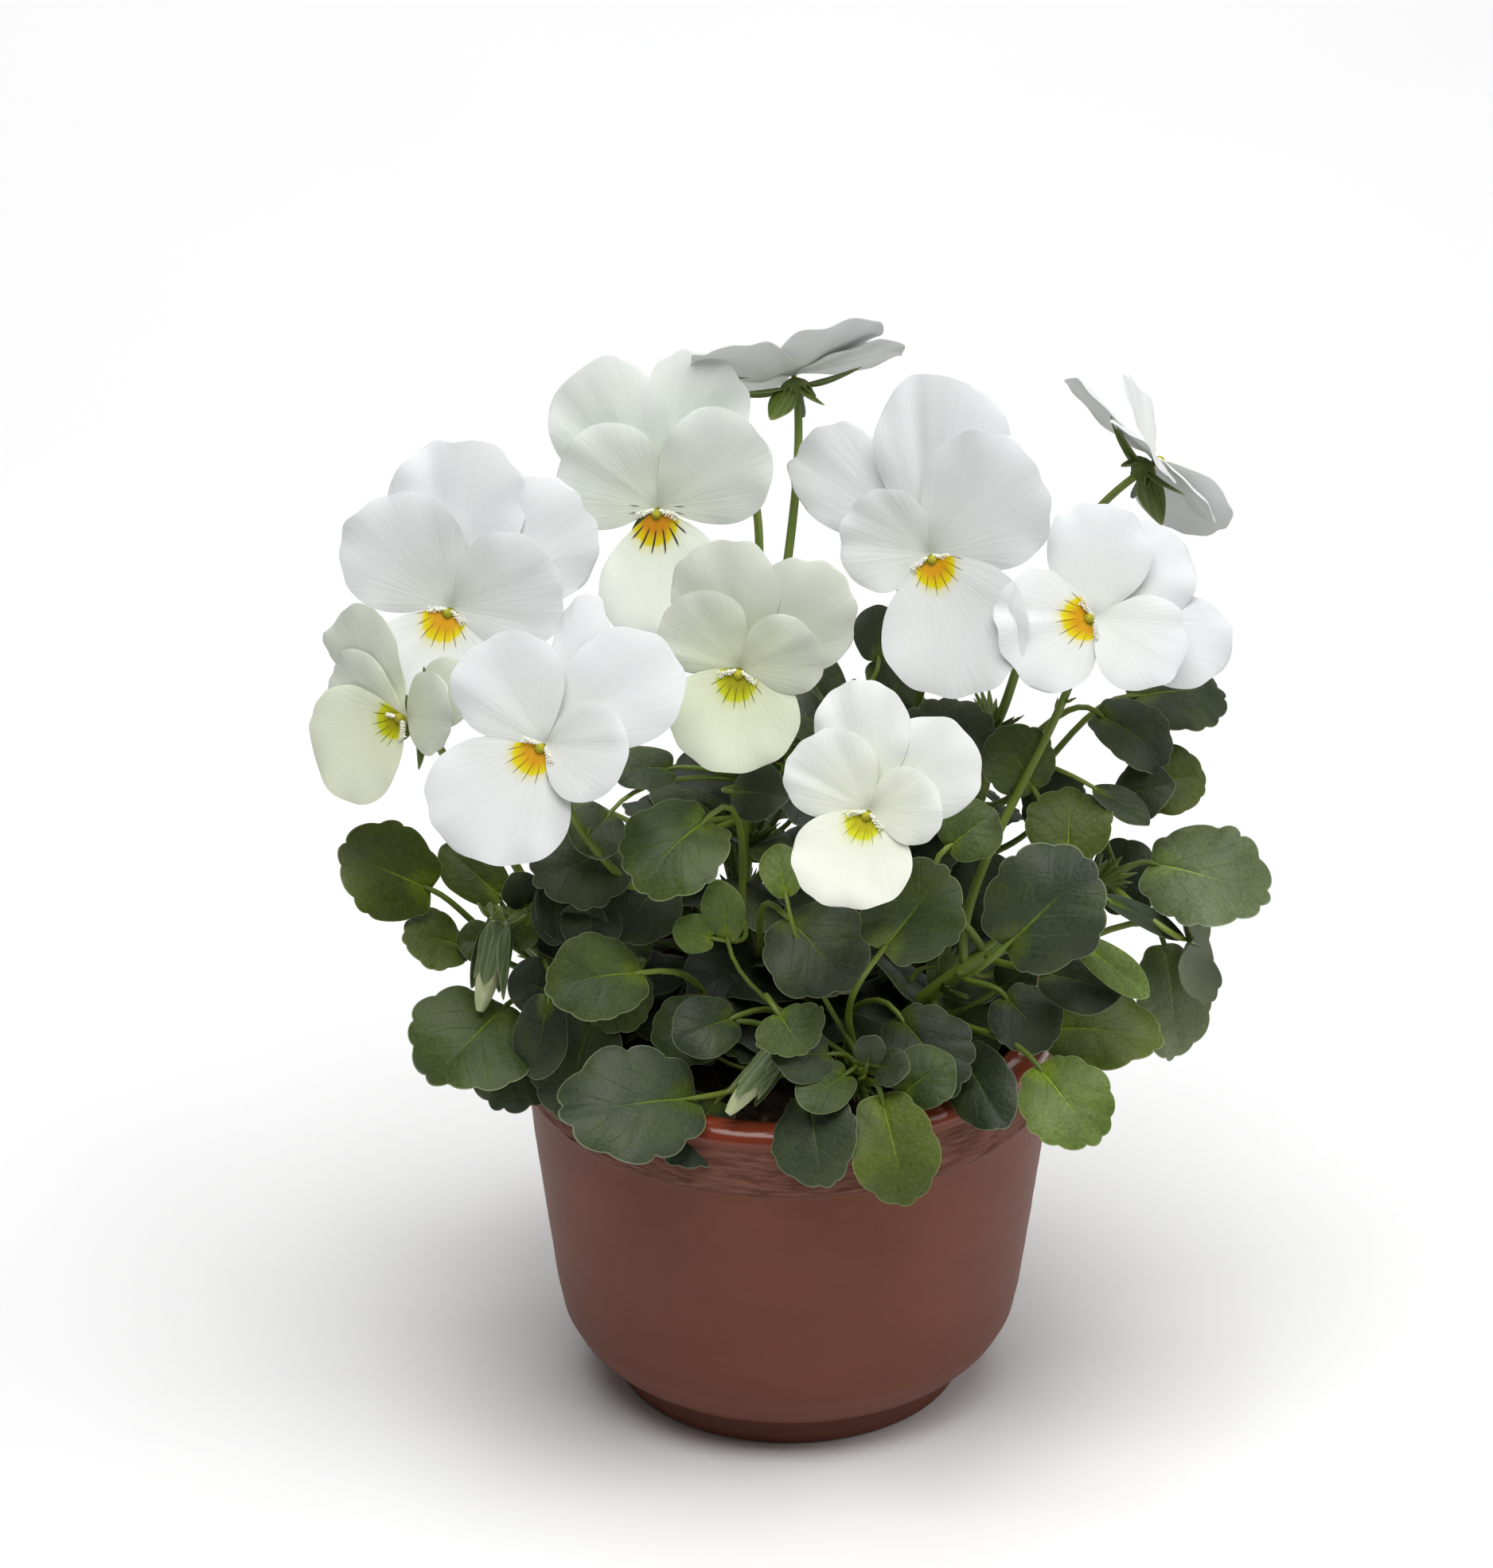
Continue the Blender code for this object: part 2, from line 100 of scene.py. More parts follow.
# Where the random draws of each kind of piece start
CRUMB_SEED = 21
STALK_SEED = 40
RING_SEED = 60
PETAL_SEED = 100
SMALL_LEAF_SEED = 200
RING_LEAF_SEED = 300
THROAT_SEED = 700

# Radius and height along the pot's skin: outside from the foot up and over the
# rim, then inside down
POT_OUTSIDE = (
    (36.0, 0.0), (39.6, 0.5), (40.3, 2.6), (39.6, 5.9), (40.6, 6.9), (43.2, 8.0), (46.4, 10.0),
    (49.6, 13.4), (52.2, 18.2), (53.6, 25.0), (56.3, 45.0), (58.6, 63.0), (59.9, 76.6),
    (60.4, 77.4), (60.9, 77.9), (61.2, 84.0), (60.9, 87.4), (60.7, 88.3), (61.2, 89.2),
    (61.1, 91.0), (60.2, 92.4), (58.8, 93.1), (57.0, 93.4), (55.0, 93.1), (53.6, 92.4),
    (52.7, 91.0),
)
POT_INSIDE = (
    (52.5, 87.0), (53.2, 82.0), (52.8, 72.0), (50.4, 45.0), (48.0, 25.0), (44.0, 13.0),
    (36.0, 8.6),
)

# Each stem: its place on the soil, the points from there to the growing tip, and
# its radius at each end
STEMS = {
    "stem_left": (
        (-12, -4), ((-16, -5, 88), (-34, -8, 95), (-52, -10, 107), (-64, -10, 120)), 2.2, 1.4),
    "stem_front": ((5, -14), ((6, -16, 87), (12, -29, 92), (17, -42, 99)), 1.9, 1.4),
    "stem_right": (
        (12, -5),
        ((13, -6, 87), (26, -15, 99), (38, -21, 113), (57, -14, 124), (74, -6, 131)), 2.2, 1.3),
    "stem_tall": ((9, 8), ((11, 8, 88), (24, 9, 110), (41, 6, 138), (47, 8, 165)), 2.2, 1.3),
    "stem_middle": ((-4, 4), ((-5, 4, 88), (-10, 0, 112), (-9, 2, 140), (0, 6, 166)), 2.2, 1.3),
    "stem_back": ((-3, 16), ((-4, 18, 88), (-12, 32, 106), (-18, 44, 128)), 2.0, 1.3),
}

# Each flower: the stem that carries it and where along it (0 soil, 1 tip), the
# throat's place, the way it faces, its tone, and five petals given as (clock
# angle seen from the front, length, spread to either side, forward tilt, tip
# curl): two upper petals, two side petals and the lip
FLOWERS = {
    "01": ("stem_left", 0.70, (-76.2, 9.7, 189.3), (-12, 22), "cool", (
        (0, 38, 52, 47, 4, -3), (48, 38.5, 45, 42, 3, -3),
        (313, 29.5, 57, 64, 12, 0), (74, 27.5, 66, 56, 12, 0), (200, 26, 80, 60, 14, 0))),
    "02": ("stem_middle", 0.75, (-29.8, 20.1, 209.2), (-5, 15), "mint", (
        (333, 36, 51, 36, 2, -2), (15, 36.5, 32, 45, 2, -2),
        (303, 24.5, 66, 62, 8, 0), (50, 29.5, 50, 58, 8, 0), (186, 29.5, 74, 42, 10, 0))),
    "03": ("stem_middle", 0.97, (0.5, 41, 233), (-162, 51), "cool", (
        (333, 27, 44, 62, 11, 1), (62, 27, 52, 48, 10, 2),
        (286, 26, 46, 52, 3, 0), (135, 24, 52, 50, 0, 0), (205, 26, 60, 60, 24, 0))),
    "04": ("stem_tall", 0.45, (31, 1.3, 206.5), (-22, 20), "cool", (
        (352, 40, 40, 57, 3, -3), (294, 42, 26, 36, -4, -4),
        (285, 20, 82, 68, 14, 2), (42, 33.5, 60, 57, 5, 1), (138, 33.5, 54, 76, 14, 0))),
    "05": ("stem_tall", 0.97, (82, 30, 217), (120, 35), "cool", (
        (40, 26.5, 42, 42, 3, -1), (80, 22, 36, 36, 33, 0),
        (322, 22, 56, 56, -7, 0), (235, 20.5, 56, 56, -3, 0), (190, 24, 60, 60, 0, -1))),
    "06": ("stem_right", 0.62, (67.6, -9.9, 196.3), (15, 30), "cool", (
        (58, 27.5, 50, 50, 2, -2), (107, 33.5, 31, 41, 0, -2),
        (6, 25.5, 52, 62, 8, 0), (125, 21.5, 60, 70, 12, 0), (268, 24, 84, 64, 8, 0))),
    "07": ("stem_middle", 0.60, (-11.3, -27.3, 192.3), (-8, 18), "cream", (
        (345, 28.5, 50, 52, 3, -2), (44, 30, 46, 54, 2, -2),
        (305, 20.5, 50, 70, 10, 0), (78, 19.5, 70, 44, 12, 0), (186, 23, 90, 80, 12, 0))),
    "08": ("stem_middle", 0.24, (-53.9, -46.4, 183.2), (-10, 28), "cool", (
        (50, 34.5, 44, 44, 2, -2), (10, 34, 15, 24, 0, -2),
        (324, 26.5, 57, 57, 10, 0), (95, 19.5, 68, 76, 16, 0), (222, 30.5, 78, 54, 6, 0))),
    "09": ("stem_left", 0.86, (-85.6, -20.2, 176.6), (-50, 20), "cream", (
        (286, 33, 14, 47, 7, -1), (40, 18, 60, 50, -2, -2),
        (276, 25.5, 28, 34, 8, 0), (72, 18.5, 72, 52, 10, 0), (242, 27.5, 88, 40, 10, 0))),
    "10": ("stem_right", 0.28, (17, -60.9, 174.2), (-8, 25), "ivory", (
        (350, 28.5, 42, 44, 3, -2), (52, 27, 52, 50, 2, -2),
        (306, 21, 54, 68, 12, 0), (90, 16.5, 78, 50, 14, 0), (202, 22.5, 84, 64, 12, 0))),
}
PETAL_ROLES = ("upper_a", "upper_b", "side_a", "side_b", "lip")
PETAL_LIFT = (-1.3, -1.9, -0.4, 0.5, 0.1)  # how far each petal stands forward
# Petals rolled about their own length: (flower, petal) to degrees; the clockwise
# side comes forward
PETAL_TURN = {("05", 1): 9, ("05", 4): 27}
EYE_LINE_SPACING = 0.31  # radians between the dark lines of the eye

# Each leaf: the stem that carries it and where along it, the place of the
# blade's base and of its tip, the blade's width, the way its upper side faces,
# how far its midrib arches up, how far its sides rise, and its age
LEAVES = {
    "01": (
        "stem_left", 0.93, (-80.5, -12, 129), (-101, -16, 141), 22.5, (-10, 35), 1.5, 0.06, "olive"),
    "02": ("stem_left", 0.80, (-73, -14, 116), (-87, -20, 121), 17, (-20, 60), 1.0, 0.05, "olive"),
    "03": (
        "stem_left", 0.56, (-63.5, -29, 109), (-79.5, -46, 98.5), 30, (-5, 40), 2.5, 0.04, "grown"),
    "04": ("stem_left", 0.42, (-57, -20, 99), (-67, -31, 83.5), 23, (-20, 25), 1.5, 0.04, "old"),
    "05": ("stem_left", 0.35, (-33, -42, 124), (-54, -52, 125), 20, (-10, 45), 2.5, 0.06, "grown"),
    "06": ("stem_left", 0.18, (-20, -54, 99), (-51, -67, 101), 28, (-5, 40), 3.0, 0.04, "old"),
    "07": ("stem_middle", 0.50, (-18, -30, 157), (-34, -46, 147), 24, (-5, 50), 2.5, 0.04, "grown"),
    "08": ("stem_middle", 0.30, (-42, -9, 135), (-47, -24, 124), 18, (0, 40), 2.0, 0.04, "old"),
    "09": ("stem_middle", 0.10, (-12, -42, 113), (-26, -50, 111), 15, (0, 40), 1.5, 0.04, "old"),
    "10": ("stem_front", 0.60, (-3, -53, 120), (3, -61, 114), 17, (0, 40), 1.0, 0.22, "grown"),
    "11": ("stem_middle", 0.45, (-1, -36, 135), (13, -50, 124), 25, (0, 45), 2.5, 0.04, "old"),
    "12": ("stem_front", 0.92, (20, -58, 138), (34, -53, 156), 23, (5, 25), 2.0, 0.05, "grown"),
    "13": ("stem_right", 0.60, (47, -46, 132), (67, -43, 152), 28, (0, 30), 2.0, 0.05, "old"),
    "14": ("stem_right", 0.72, (62, -20, 140), (63, -8, 153), 20, (0, 40), 1.5, 0.05, "olive"),
    "15": ("stem_right", 0.97, (81, -8, 134), (107.5, -18, 130), 26, (10, 40), 3.0, 0.06, "pale"),
    "16": ("stem_tall", 0.78, (77, 12, 166), (99, 22, 162), 21, (0, 48), 2.0, 0.05, "old"),
    "17": ("stem_right", 0.90, (77, 4, 146), (94, 6, 149), 17, (0, 52), 1.5, 0.05, "olive"),
    "18": ("stem_tall", 0.90, (69, 4, 166), (85, -2, 156), 16, (30, 45), 1.5, 0.12, "old"),
    "19": ("stem_right", 0.97, (88, -20, 121), (96, -6, 110.5), 27, (-113, -11), 1.0, 0.02, "old"),
    "20": ("stem_right", 0.62, (85, -6, 112), (87, -17, 88), 20, (32, 12), 1.5, 0.06, "pale"),
    "21": ("stem_right", 0.30, (57, -20, 98), (84, -28, 99), 20, (20, 50), 2.5, 0.05, "olive"),
    "22": ("stem_right", 0.50, (55, -46, 103), (68, -61, 91), 21, (5, 35), 2.0, 0.05, "young"),
    "23": ("stem_front", 0.55, (38, -37, 102), (48, -57, 93), 16, (-40, 45), 1.5, 0.05, "old"),
    "24": ("stem_front", 0.98, (20, -60, 103), (26, -71, 81), 20, (0, 35), 2.0, 0.05, "olive"),
    "25": ("stem_front", 0.65, (4, -55, 101), (8, -71, 86), 21, (-20, 30), 2.0, 0.05, "old"),
    "26": ("stem_right", 0.20, (24, -35, 110), (37, -51, 98), 21, (10, 35), 2.5, 0.05, "old"),
    "27": ("stem_front", 0.80, (24, -54, 99), (36, -50, 107), 15, (0, 40), 1.0, 0.05, "grown"),
    "28": ("stem_back", 0.60, (-44, 52, 116), (-66, 62, 108), 26, (-140, 50), 2.5, 0.05, "grown"),
    "29": ("stem_back", 0.97, (-12, 60, 132), (-8, 84, 124), 27, (175, 50), 3.0, 0.05, "grown"),
    "30": ("stem_back", 0.35, (22, 52, 108), (40, 70, 100), 27, (150, 50), 3.0, 0.05, "grown"),
}

# Smaller leaves between them: blade's base and tip, width, facing, age; "shaded" is no age but the
# darker finish that paints shade inside the plant
SMALL_LEAVES = (
    ((-65, -4, 123), (-79, 2, 133), 13, (0, 40), "olive"),
    ((-16, -44, 93), (-27, -60, 86), 18, (0, 35), "old"),
    ((-44, -30, 108), (-51, -45, 88), 20, (-15, 30), "old"),
    ((-40, -20, 153), (-47, -30, 148), 14, (0, 45), "old"),
    ((-44, -24, 134), (-45, -34, 124), 14, (0, 40), "old"),
    ((-52, -22, 138), (-53, -31, 125), 11, (0, 40), "old"),
    ((-14, -38, 130), (-16, -38, 145), 10, (0, 20), "young"),
    ((-17, -39, 131), (-26, -42, 135), 9, (0, 30), "young"),
    ((35, -24, 146), (46, -20, 153), 15, (0, 40), "grown"),
    ((13, -55, 106), (2, -65, 103), 12, (0, 40), "grown"),
    ((9, -54, 110), (-4, -60, 112), 13, (0, 40), "old"),
    ((-16, -34, 98), (-26, -34, 106), 9, (0, 40), "old"),
    ((64, -38, 130), (80, -42, 118), 9, (0, 50), "young"),
    ((71, -22, 132), (89, -18, 120), 6, (0, 60), "old"),
    ((56, -34, 120), (74, -39, 117), 15, (0, 40), "old"),
    ((35, -8, 156), (36, 4, 170), 22, (0, 30), "old"),
    ((20, 10, 176), (20, 16, 187), 12, (0, 30), "old"),
    ((-26, -8, 158), (-40, -14, 160), 12, (0, 50), "old"),
    ((-13, -16, 156), (-1, -22, 158), 14, (0, 40), "old"),
    ((-1, -38, 141), (-3, -30, 150), 10, (0, 20), "young"),
    ((17, -57, 109), (18, -60, 118), 7, (0, 20), "old"),
    ((19, -56, 108), (26, -62, 110), 9, (10, 35), "old"),
    ((-14, -34, 107), (-31, -38, 105), 17, (0, 40), "grown"),
    ((-28, -18, 137), (-38, -30, 126), 18, (0, 40), "old"),
    ((-36, -18, 144), (-57, -28, 139), 23, (0, 42), "old"),
    ((55, -8, 152), (47, -4, 166), 17, (0, 35), "grown"),
    ((26, -30, 140), (14, -34, 147), 15, (0, 40), "grown"),
    ((70, 2, 120), (84, 6, 128), 18, (0, 45), "old"),
    ((-34, -26, 116), (-44, -34, 106), 17, (-10, 40), "grown"),
    ((48, -30, 112), (58, -40, 104), 17, (10, 35), "old"),
    ((-54, -22, 137), (-52, -30, 126), 9, (20, 30), "old"),
    ((-46, -26, 121), (-46, -28, 135), 12, (-10, 30), "old"),
    ((-66, -16, 118), (-75, -18, 119), 10, (0, 35), "grown"),
    ((-54, -38, 116), (-57, -46, 99), 13, (-20, 30), "old"),
    ((-52, -30, 112), (-63, -33, 118), 13, (-10, 40), "old"),
    ((-47, -20, 126), (-57, -24, 121), 13, (0, 40), "old"),
    ((-59, -20, 129), (-62, -21, 138), 9, (10, 30), "old"),
    # a leaf in the "shaded" finish: painted shade that fills a gap deep in the foliage
    ((47, -20, 108), (55, -22, 116), 11, (0, 35), "shaded"),
    ((-58, -26, 130), (-61, -29, 123), 7, (0, 40), "olive"),
    ((73, -2, 147), (86, -6, 153), 14, (0, 40), "old"),
    ((68, -10, 154), (81, -12, 146), 8, (0, 65), "old"),
    ((37, -3, 118), (51, -2, 130), 18, (0, 45), "old"),
    ((55, 7, 135), (65, 3, 149), 18, (5, 45), "old"),
)


# ---- directions and curves

UP = np.array((0.0, 0.0, 1.0))


def unit(vector):
    """The vector, or each row of vectors, brought to length 1."""
    return vector / np.linalg.norm(vector, axis=-1, keepdims=True)


def direction(azimuth, elevation):
    """The unit vector that points the given way."""
    a, e = math.radians(azimuth), math.radians(elevation)
    return np.array((math.sin(a) * math.cos(e), -math.cos(a) * math.cos(e), math.sin(e)))


def across(vector, axis):
    """The unit part of the vector, or of each row, that is square to the axis."""
    return unit(vector - axis * np.sum(vector * axis, axis=-1, keepdims=True))


def round_angles(count):
    """The angles of count even steps round a circle, in radians."""
    return 2.0 * np.pi * np.arange(count) / count


def smooth_step(low, high, values):
    """0 at low, 1 at high and 3t² - 2t³ between them; low may be the greater."""
    t = np.clip((values - low) / (high - low), 0.0, 1.0)
    return t * t * (3.0 - 2.0 * t)


def smooth_curve(points, count):
    """Evenly numbered points on the Catmull-Rom curve through the given points."""
    pts = np.array(points, float)
    pts = np.vstack((2 * pts[0] - pts[1], pts, 2 * pts[-1] - pts[-2]))
    place = np.linspace(0.0, len(pts) - 3, count)
    i = np.minimum(place.astype(int), len(pts) - 4)
    u = (place - i)[:, None]
    a, b, c, d = pts[i], pts[i + 1], pts[i + 2], pts[i + 3]
    return 0.5 * (2 * b + (c - a) * u + (2 * a - 5 * b + 4 * c - d) * u ** 2
                  + (3 * b - 3 * c + d - a) * u ** 3)


def bezier(a, b, c, d, count):
    """Points on the cubic Bezier curve with those four control points."""
    t = np.linspace(0.0, 1.0, count)[:, None]
    s = 1.0 - t
    return s ** 3 * a + 3 * s * s * t * b + 3 * s * t * t * c + t ** 3 * d


def travelled(points):
    """How far each point of a line lies from its start, along the line."""
    steps = np.linalg.norm(np.diff(points, axis=0), axis=1)
    return np.concatenate(((0.0,), np.cumsum(steps)))


def at_distances(points, wanted):
    """The points of a line that lie at the wanted distances along it."""
    known = travelled(points)
    return np.stack([np.interp(wanted, known, values) for values in points.T], axis=1)


def even_outline(points, count):
    """count points at equal steps round a closed outline, from its first point."""
    closed = np.vstack((points, points[:1]))
    return at_distances(closed, travelled(closed)[-1] * np.arange(count) / count)


def value_noise(points, scale, seed):
    """Smooth noise from 0 to 1: a fixed random height at each whole-number lattice
    point, the fraction of a large multiple of the sine of a sum of its three
    coordinates and the seed, blended between the points by 3t² - 2t³."""
    scaled_points = np.asarray(points, float) * scale
    cell = np.floor(scaled_points)
    share = scaled_points - cell
    share = share * share * (3.0 - 2.0 * share)
    total = np.zeros(cell.shape[:-1])
    for corner in np.ndindex(2, 2, 2):
        x, y, z = np.moveaxis(cell + corner, -1, 0)
        height = np.sin(x * 12.9898 + y * 78.233 + z * 37.719 + seed * 4.137) * 43758.5453
        weight = np.prod(np.where(corner, share, 1.0 - share), axis=-1)
        total += weight * (height - np.floor(height))
    return total


def soil_height(x, y):
    """Height of the domed soil surface: level + crown * (1 - (distance / radius)²)."""
    return SOIL_LEVEL + SOIL_CROWN * (1.0 - (x * x + y * y) / SOIL_RADIUS ** 2)


# ---- skins


def grid_faces(rows, count):
    """Quads between neighbouring rings of count points each, every ring closed."""
    row = np.arange(rows - 1)[:, None] * count
    here = np.arange(count)[None, :]
    there = (here + 1) % count
    corners = (row + here, row + there, row + count + there, row + count + here)
    return np.stack(corners, axis=-1).reshape(-1, 4)


def fan_faces(pole, ring, count, turned=False):
    """Triangles from a pole to the closed ring that starts at the given vertex."""
    here = ring + np.arange(count)
    there = ring + (np.arange(count) + 1) % count
    pair = (there, here) if turned else (here, there)
    return np.stack((np.full(count, pole), *pair), axis=-1)


def tube_faces(rows, count):
    """Faces of a row of rings closed at both ends by a pole; the two poles are the
    vertices after the last ring."""
    poles = rows * count
    return [grid_faces(rows, count), fan_faces(poles, 0, count, True),
            fan_faces(poles + 1, poles - count, count)]


class Skin:
    """Vertices (mm), faces and per-vertex marks of one piece, gathered part by part."""

    def __init__(self):
        self.points = []
        self.marks = []
        self.faces = []
        self.slots = []
        self.total = 0

    def add(self, points, faces, marks=None, slot=0):
        """Adds one closed part; marks has a row of four numbers for each vertex."""
        points = np.asarray(points, float).reshape(-1, 3)
        if marks is None:
            marks = np.zeros((len(points), 4))
        for group in faces:
            self.faces.extend((group + self.total).tolist())
            self.slots.extend([slot] * len(group))
        self.points.append(points)
        self.marks.append(np.asarray(marks, float).reshape(-1, 4))
        self.total += len(points)

    def piece(self, name, looks, replaced=(), sharp=50.0):
        """Makes the mesh object, gives it its finishes and lets it ride on the part;
        edges that turn by more than sharp degrees stay sharp."""
        mesh = bpy.data.meshes.new(name)
        mesh.from_pydata((np.vstack(self.points) * MM).tolist(), [], self.faces)
        for look in looks:
            mesh.materials.append(get_look(look))
        mesh.polygons.foreach_set("material_index", np.array(self.slots, np.int32))
        marks = mesh.attributes.new("marks", "FLOAT_COLOR", "POINT")
        marks.data.foreach_set("color", np.vstack(self.marks).astype(np.float32).ravel())
        mesh.shade_smooth()
        mesh.set_sharp_from_angle(angle=math.radians(sharp))
        made = linked(name, mesh)
        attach(made, "root")
        if replaced:
            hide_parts(*replaced)


def linked(name, data):
    """A new object with the given data, put into the scene."""
    made = bpy.data.objects.new(name, data)
    bpy.context.collection.objects.link(made)
    return made


def add_tube(skin, path, radii, sides=10, ribs=0.0, slot=0):
    """A round bar along a path: point = path + radius * (1 + ribs * cos(4a)) *
    (cos(a) * side + sin(a) * other), closed at both ends.  The side vectors are
    the square part of the direction in which the path spreads least.  Its marks
    are the turn round it and the share along it."""
    count = len(path)
    ways = unit(np.gradient(path, axis=0))
    flat = np.linalg.svd(path - path.mean(axis=0))[2][2]
    side = across(np.broadcast_to(flat, path.shape), ways)
    other = np.cross(ways, side)
    a = round_angles(sides)
    reach = np.asarray(radii)[:, None] * (1.0 + ribs * np.cos(4.0 * a))[None, :]
    rings = path[:, None] + reach[..., None] * (
        np.cos(a)[None, :, None] * side[:, None] + np.sin(a)[None, :, None] * other[:, None])
    points = np.vstack((rings.reshape(-1, 3), path[:1], path[-1:]))
    marks = np.zeros((count * sides, 4))
    marks[:, 0] = np.tile(a / (2.0 * np.pi), count)
    marks[:, 1] = np.repeat(np.linspace(0.0, 1.0, count), sides)
    marks = np.vstack((marks, marks[:1], marks[-1:]))
    skin.add(points, tube_faces(count, sides), marks, slot)


def add_blade(skin, outline, middle, rings, place, height, thickness, units, slot=0):
    """A thin closed sheet.  Its plane points are (0, middle) + r * (outline - (0,
    middle)) for r from 0 to 1; each is carried to origin + x * side + y * along +
    (height(x, y, r, turn) ± half the thickness) * normal, and the two skins are
    joined round the rim, where they are thinner.  Its marks are x and y in the
    given units, r, and 1 on the under side."""
    origin, side, along, normal = place
    count = len(outline)
    centre = np.array((0.0, middle))
    ring = 1.0 - (1.0 - np.arange(1, rings + 1) / rings) ** 1.25
    flat = centre + ring[:, None, None] * (outline - centre)[None]
    x, y = np.vstack((centre[None], flat.reshape(-1, 2))).T
    r = np.concatenate(((0.0,), np.repeat(ring, count)))
    turn = np.concatenate(((0.0,), np.tile(np.arange(count) / count, rings)))
    up = height(x, y, r, turn)
    half = 0.5 * thickness * (1.0 - 0.55 * r ** 6)
    sheet = origin + x[:, None] * side + y[:, None] * along
    top = sheet + (up + half)[:, None] * normal
    bottom = sheet + (up - half)[:, None] * normal
    total = len(r)
    quads = grid_faces(rings, count) + 1
    fan = fan_faces(0, 1, count)
    step = np.arange(count)
    edge, edge_next = total - count + step, total - count + (step + 1) % count
    rim = np.stack((edge, edge + total, edge_next + total, edge_next), axis=1)
    faces = [quads[:, ::-1], fan, quads + total, fan[:, ::-1] + total, rim]
    marks = np.stack((x / units[0], y / units[1], r), axis=1)
    over = np.column_stack((marks, np.zeros(total)))
    under = np.column_stack((marks, np.ones(total)))
    skin.add(np.vstack((top, bottom)), faces, np.vstack((over, under)), slot)


def add_copies(skin, base_points, base_faces, centres, frames, slot=0):
    """Many copies of one small closed shape: copy k is centre k + base · frame k."""
    points = centres[:, None] + np.einsum("pi,kij->kpj", base_points, frames)
    shift = np.arange(len(centres))[:, None, None] * len(base_points)
    faces = [(group[None] + shift).reshape(-1, group.shape[1]) for group in base_faces]
    skin.add(points, faces, slot=slot)


def turned_skin(profile, sides, ruffle=None):
    """Points and faces of a closed skin turned about Z from a (radius, height) profile
    whose two ends are closed on the axis; ruffle(angle, height, radius) is added to
    the radius."""
    profile = np.array(profile, float)
    a = round_angles(sides)
    radius = np.repeat(profile[:, :1], sides, axis=1)
    height = np.repeat(profile[:, 1:], sides, axis=1)
    if ruffle is not None:
        radius = radius + ruffle(np.broadcast_to(a, radius.shape), height, radius)
    rings = np.stack((radius * np.cos(a), radius * np.sin(a), height), axis=-1)
    poles = np.array(((0.0, 0.0, profile[0, 1]), (0.0, 0.0, profile[-1, 1])))
    return np.vstack((rings.reshape(-1, 3), poles)), tube_faces(len(profile), sides)


def rounded(profile, radius):
    """The profile with each corner replaced by a small Bezier arc of three points,
    which takes at most 0.4 of the stretch on either side."""
    p = np.array(profile, float)
    corner = p[1:-1]
    start, end = (
        corner + way * np.minimum(radius / np.linalg.norm(way, axis=1), 0.4)[:, None]
        for way in (p[:-2] - corner, p[2:] - corner))
    middle = 0.25 * start + 0.5 * corner + 0.25 * end
    arcs = np.stack((start, middle, end), axis=1).reshape(-1, 2)
    return np.vstack((p[:1], arcs, p[-1:]))


def finer(profile, step):
    """The profile with its own points kept and more added at every step along it,
    apart from those that would stand close to one of its own."""
    profile = np.array(profile, float)
    kept = travelled(profile)
    extra = np.arange(0.0, kept[-1], step)
    gap = np.abs(extra[:, None] - kept[None]).min(axis=1)
    return at_distances(profile, np.sort(np.concatenate((kept, extra[gap > 0.35 * step]))))


# ---- shader helpers


class Value:
    """A socket with arithmetic: an expression on values adds its Math nodes."""

    def __init__(self, look, socket):
        self.look = look
        self.socket = socket

    def math(self, operation, *others):
        """One Math node on this value and the others."""
        return self.look.node("Math", {"operation": operation}, dict(enumerate((self, *others))))

    def __add__(self, other):
        return self.math("ADD", other)

    def __mul__(self, other):
        return self.math("MULTIPLY", other)

    def __sub__(self, other):
        return self.math("SUBTRACT", other)

    def __rsub__(self, other):
        return self * -1.0 + other

    def __pow__(self, other):
        return self.math("POWER", other)

    def __abs__(self):
        return self.math("ABSOLUTE")

    __radd__ = __add__
    __rmul__ = __mul__

    def frac(self):
        """The part after the decimal point."""
        return self.math("FRACT")

    def greater(self, other):
        """The greater of two values."""
        return self.math("MAXIMUM", other)

    def output(self, name):
        """Another output of the node that gives this value."""
        return Value(self.look, self.socket.node.outputs[name])

    def step(self, low, high):
        """0 at low, 1 at high, eased between; low may be the greater."""
        sockets = {"Value": self, "From Min": low, "From Max": high}
        return self.look.node("MapRange", {"interpolation_type": "SMOOTHSTEP"}, sockets)

    def band(self, start, full, fade, end):
        """0 at start, 1 from full to fade and 0 again at end."""
        return self.step(start, full) * self.step(end, fade)


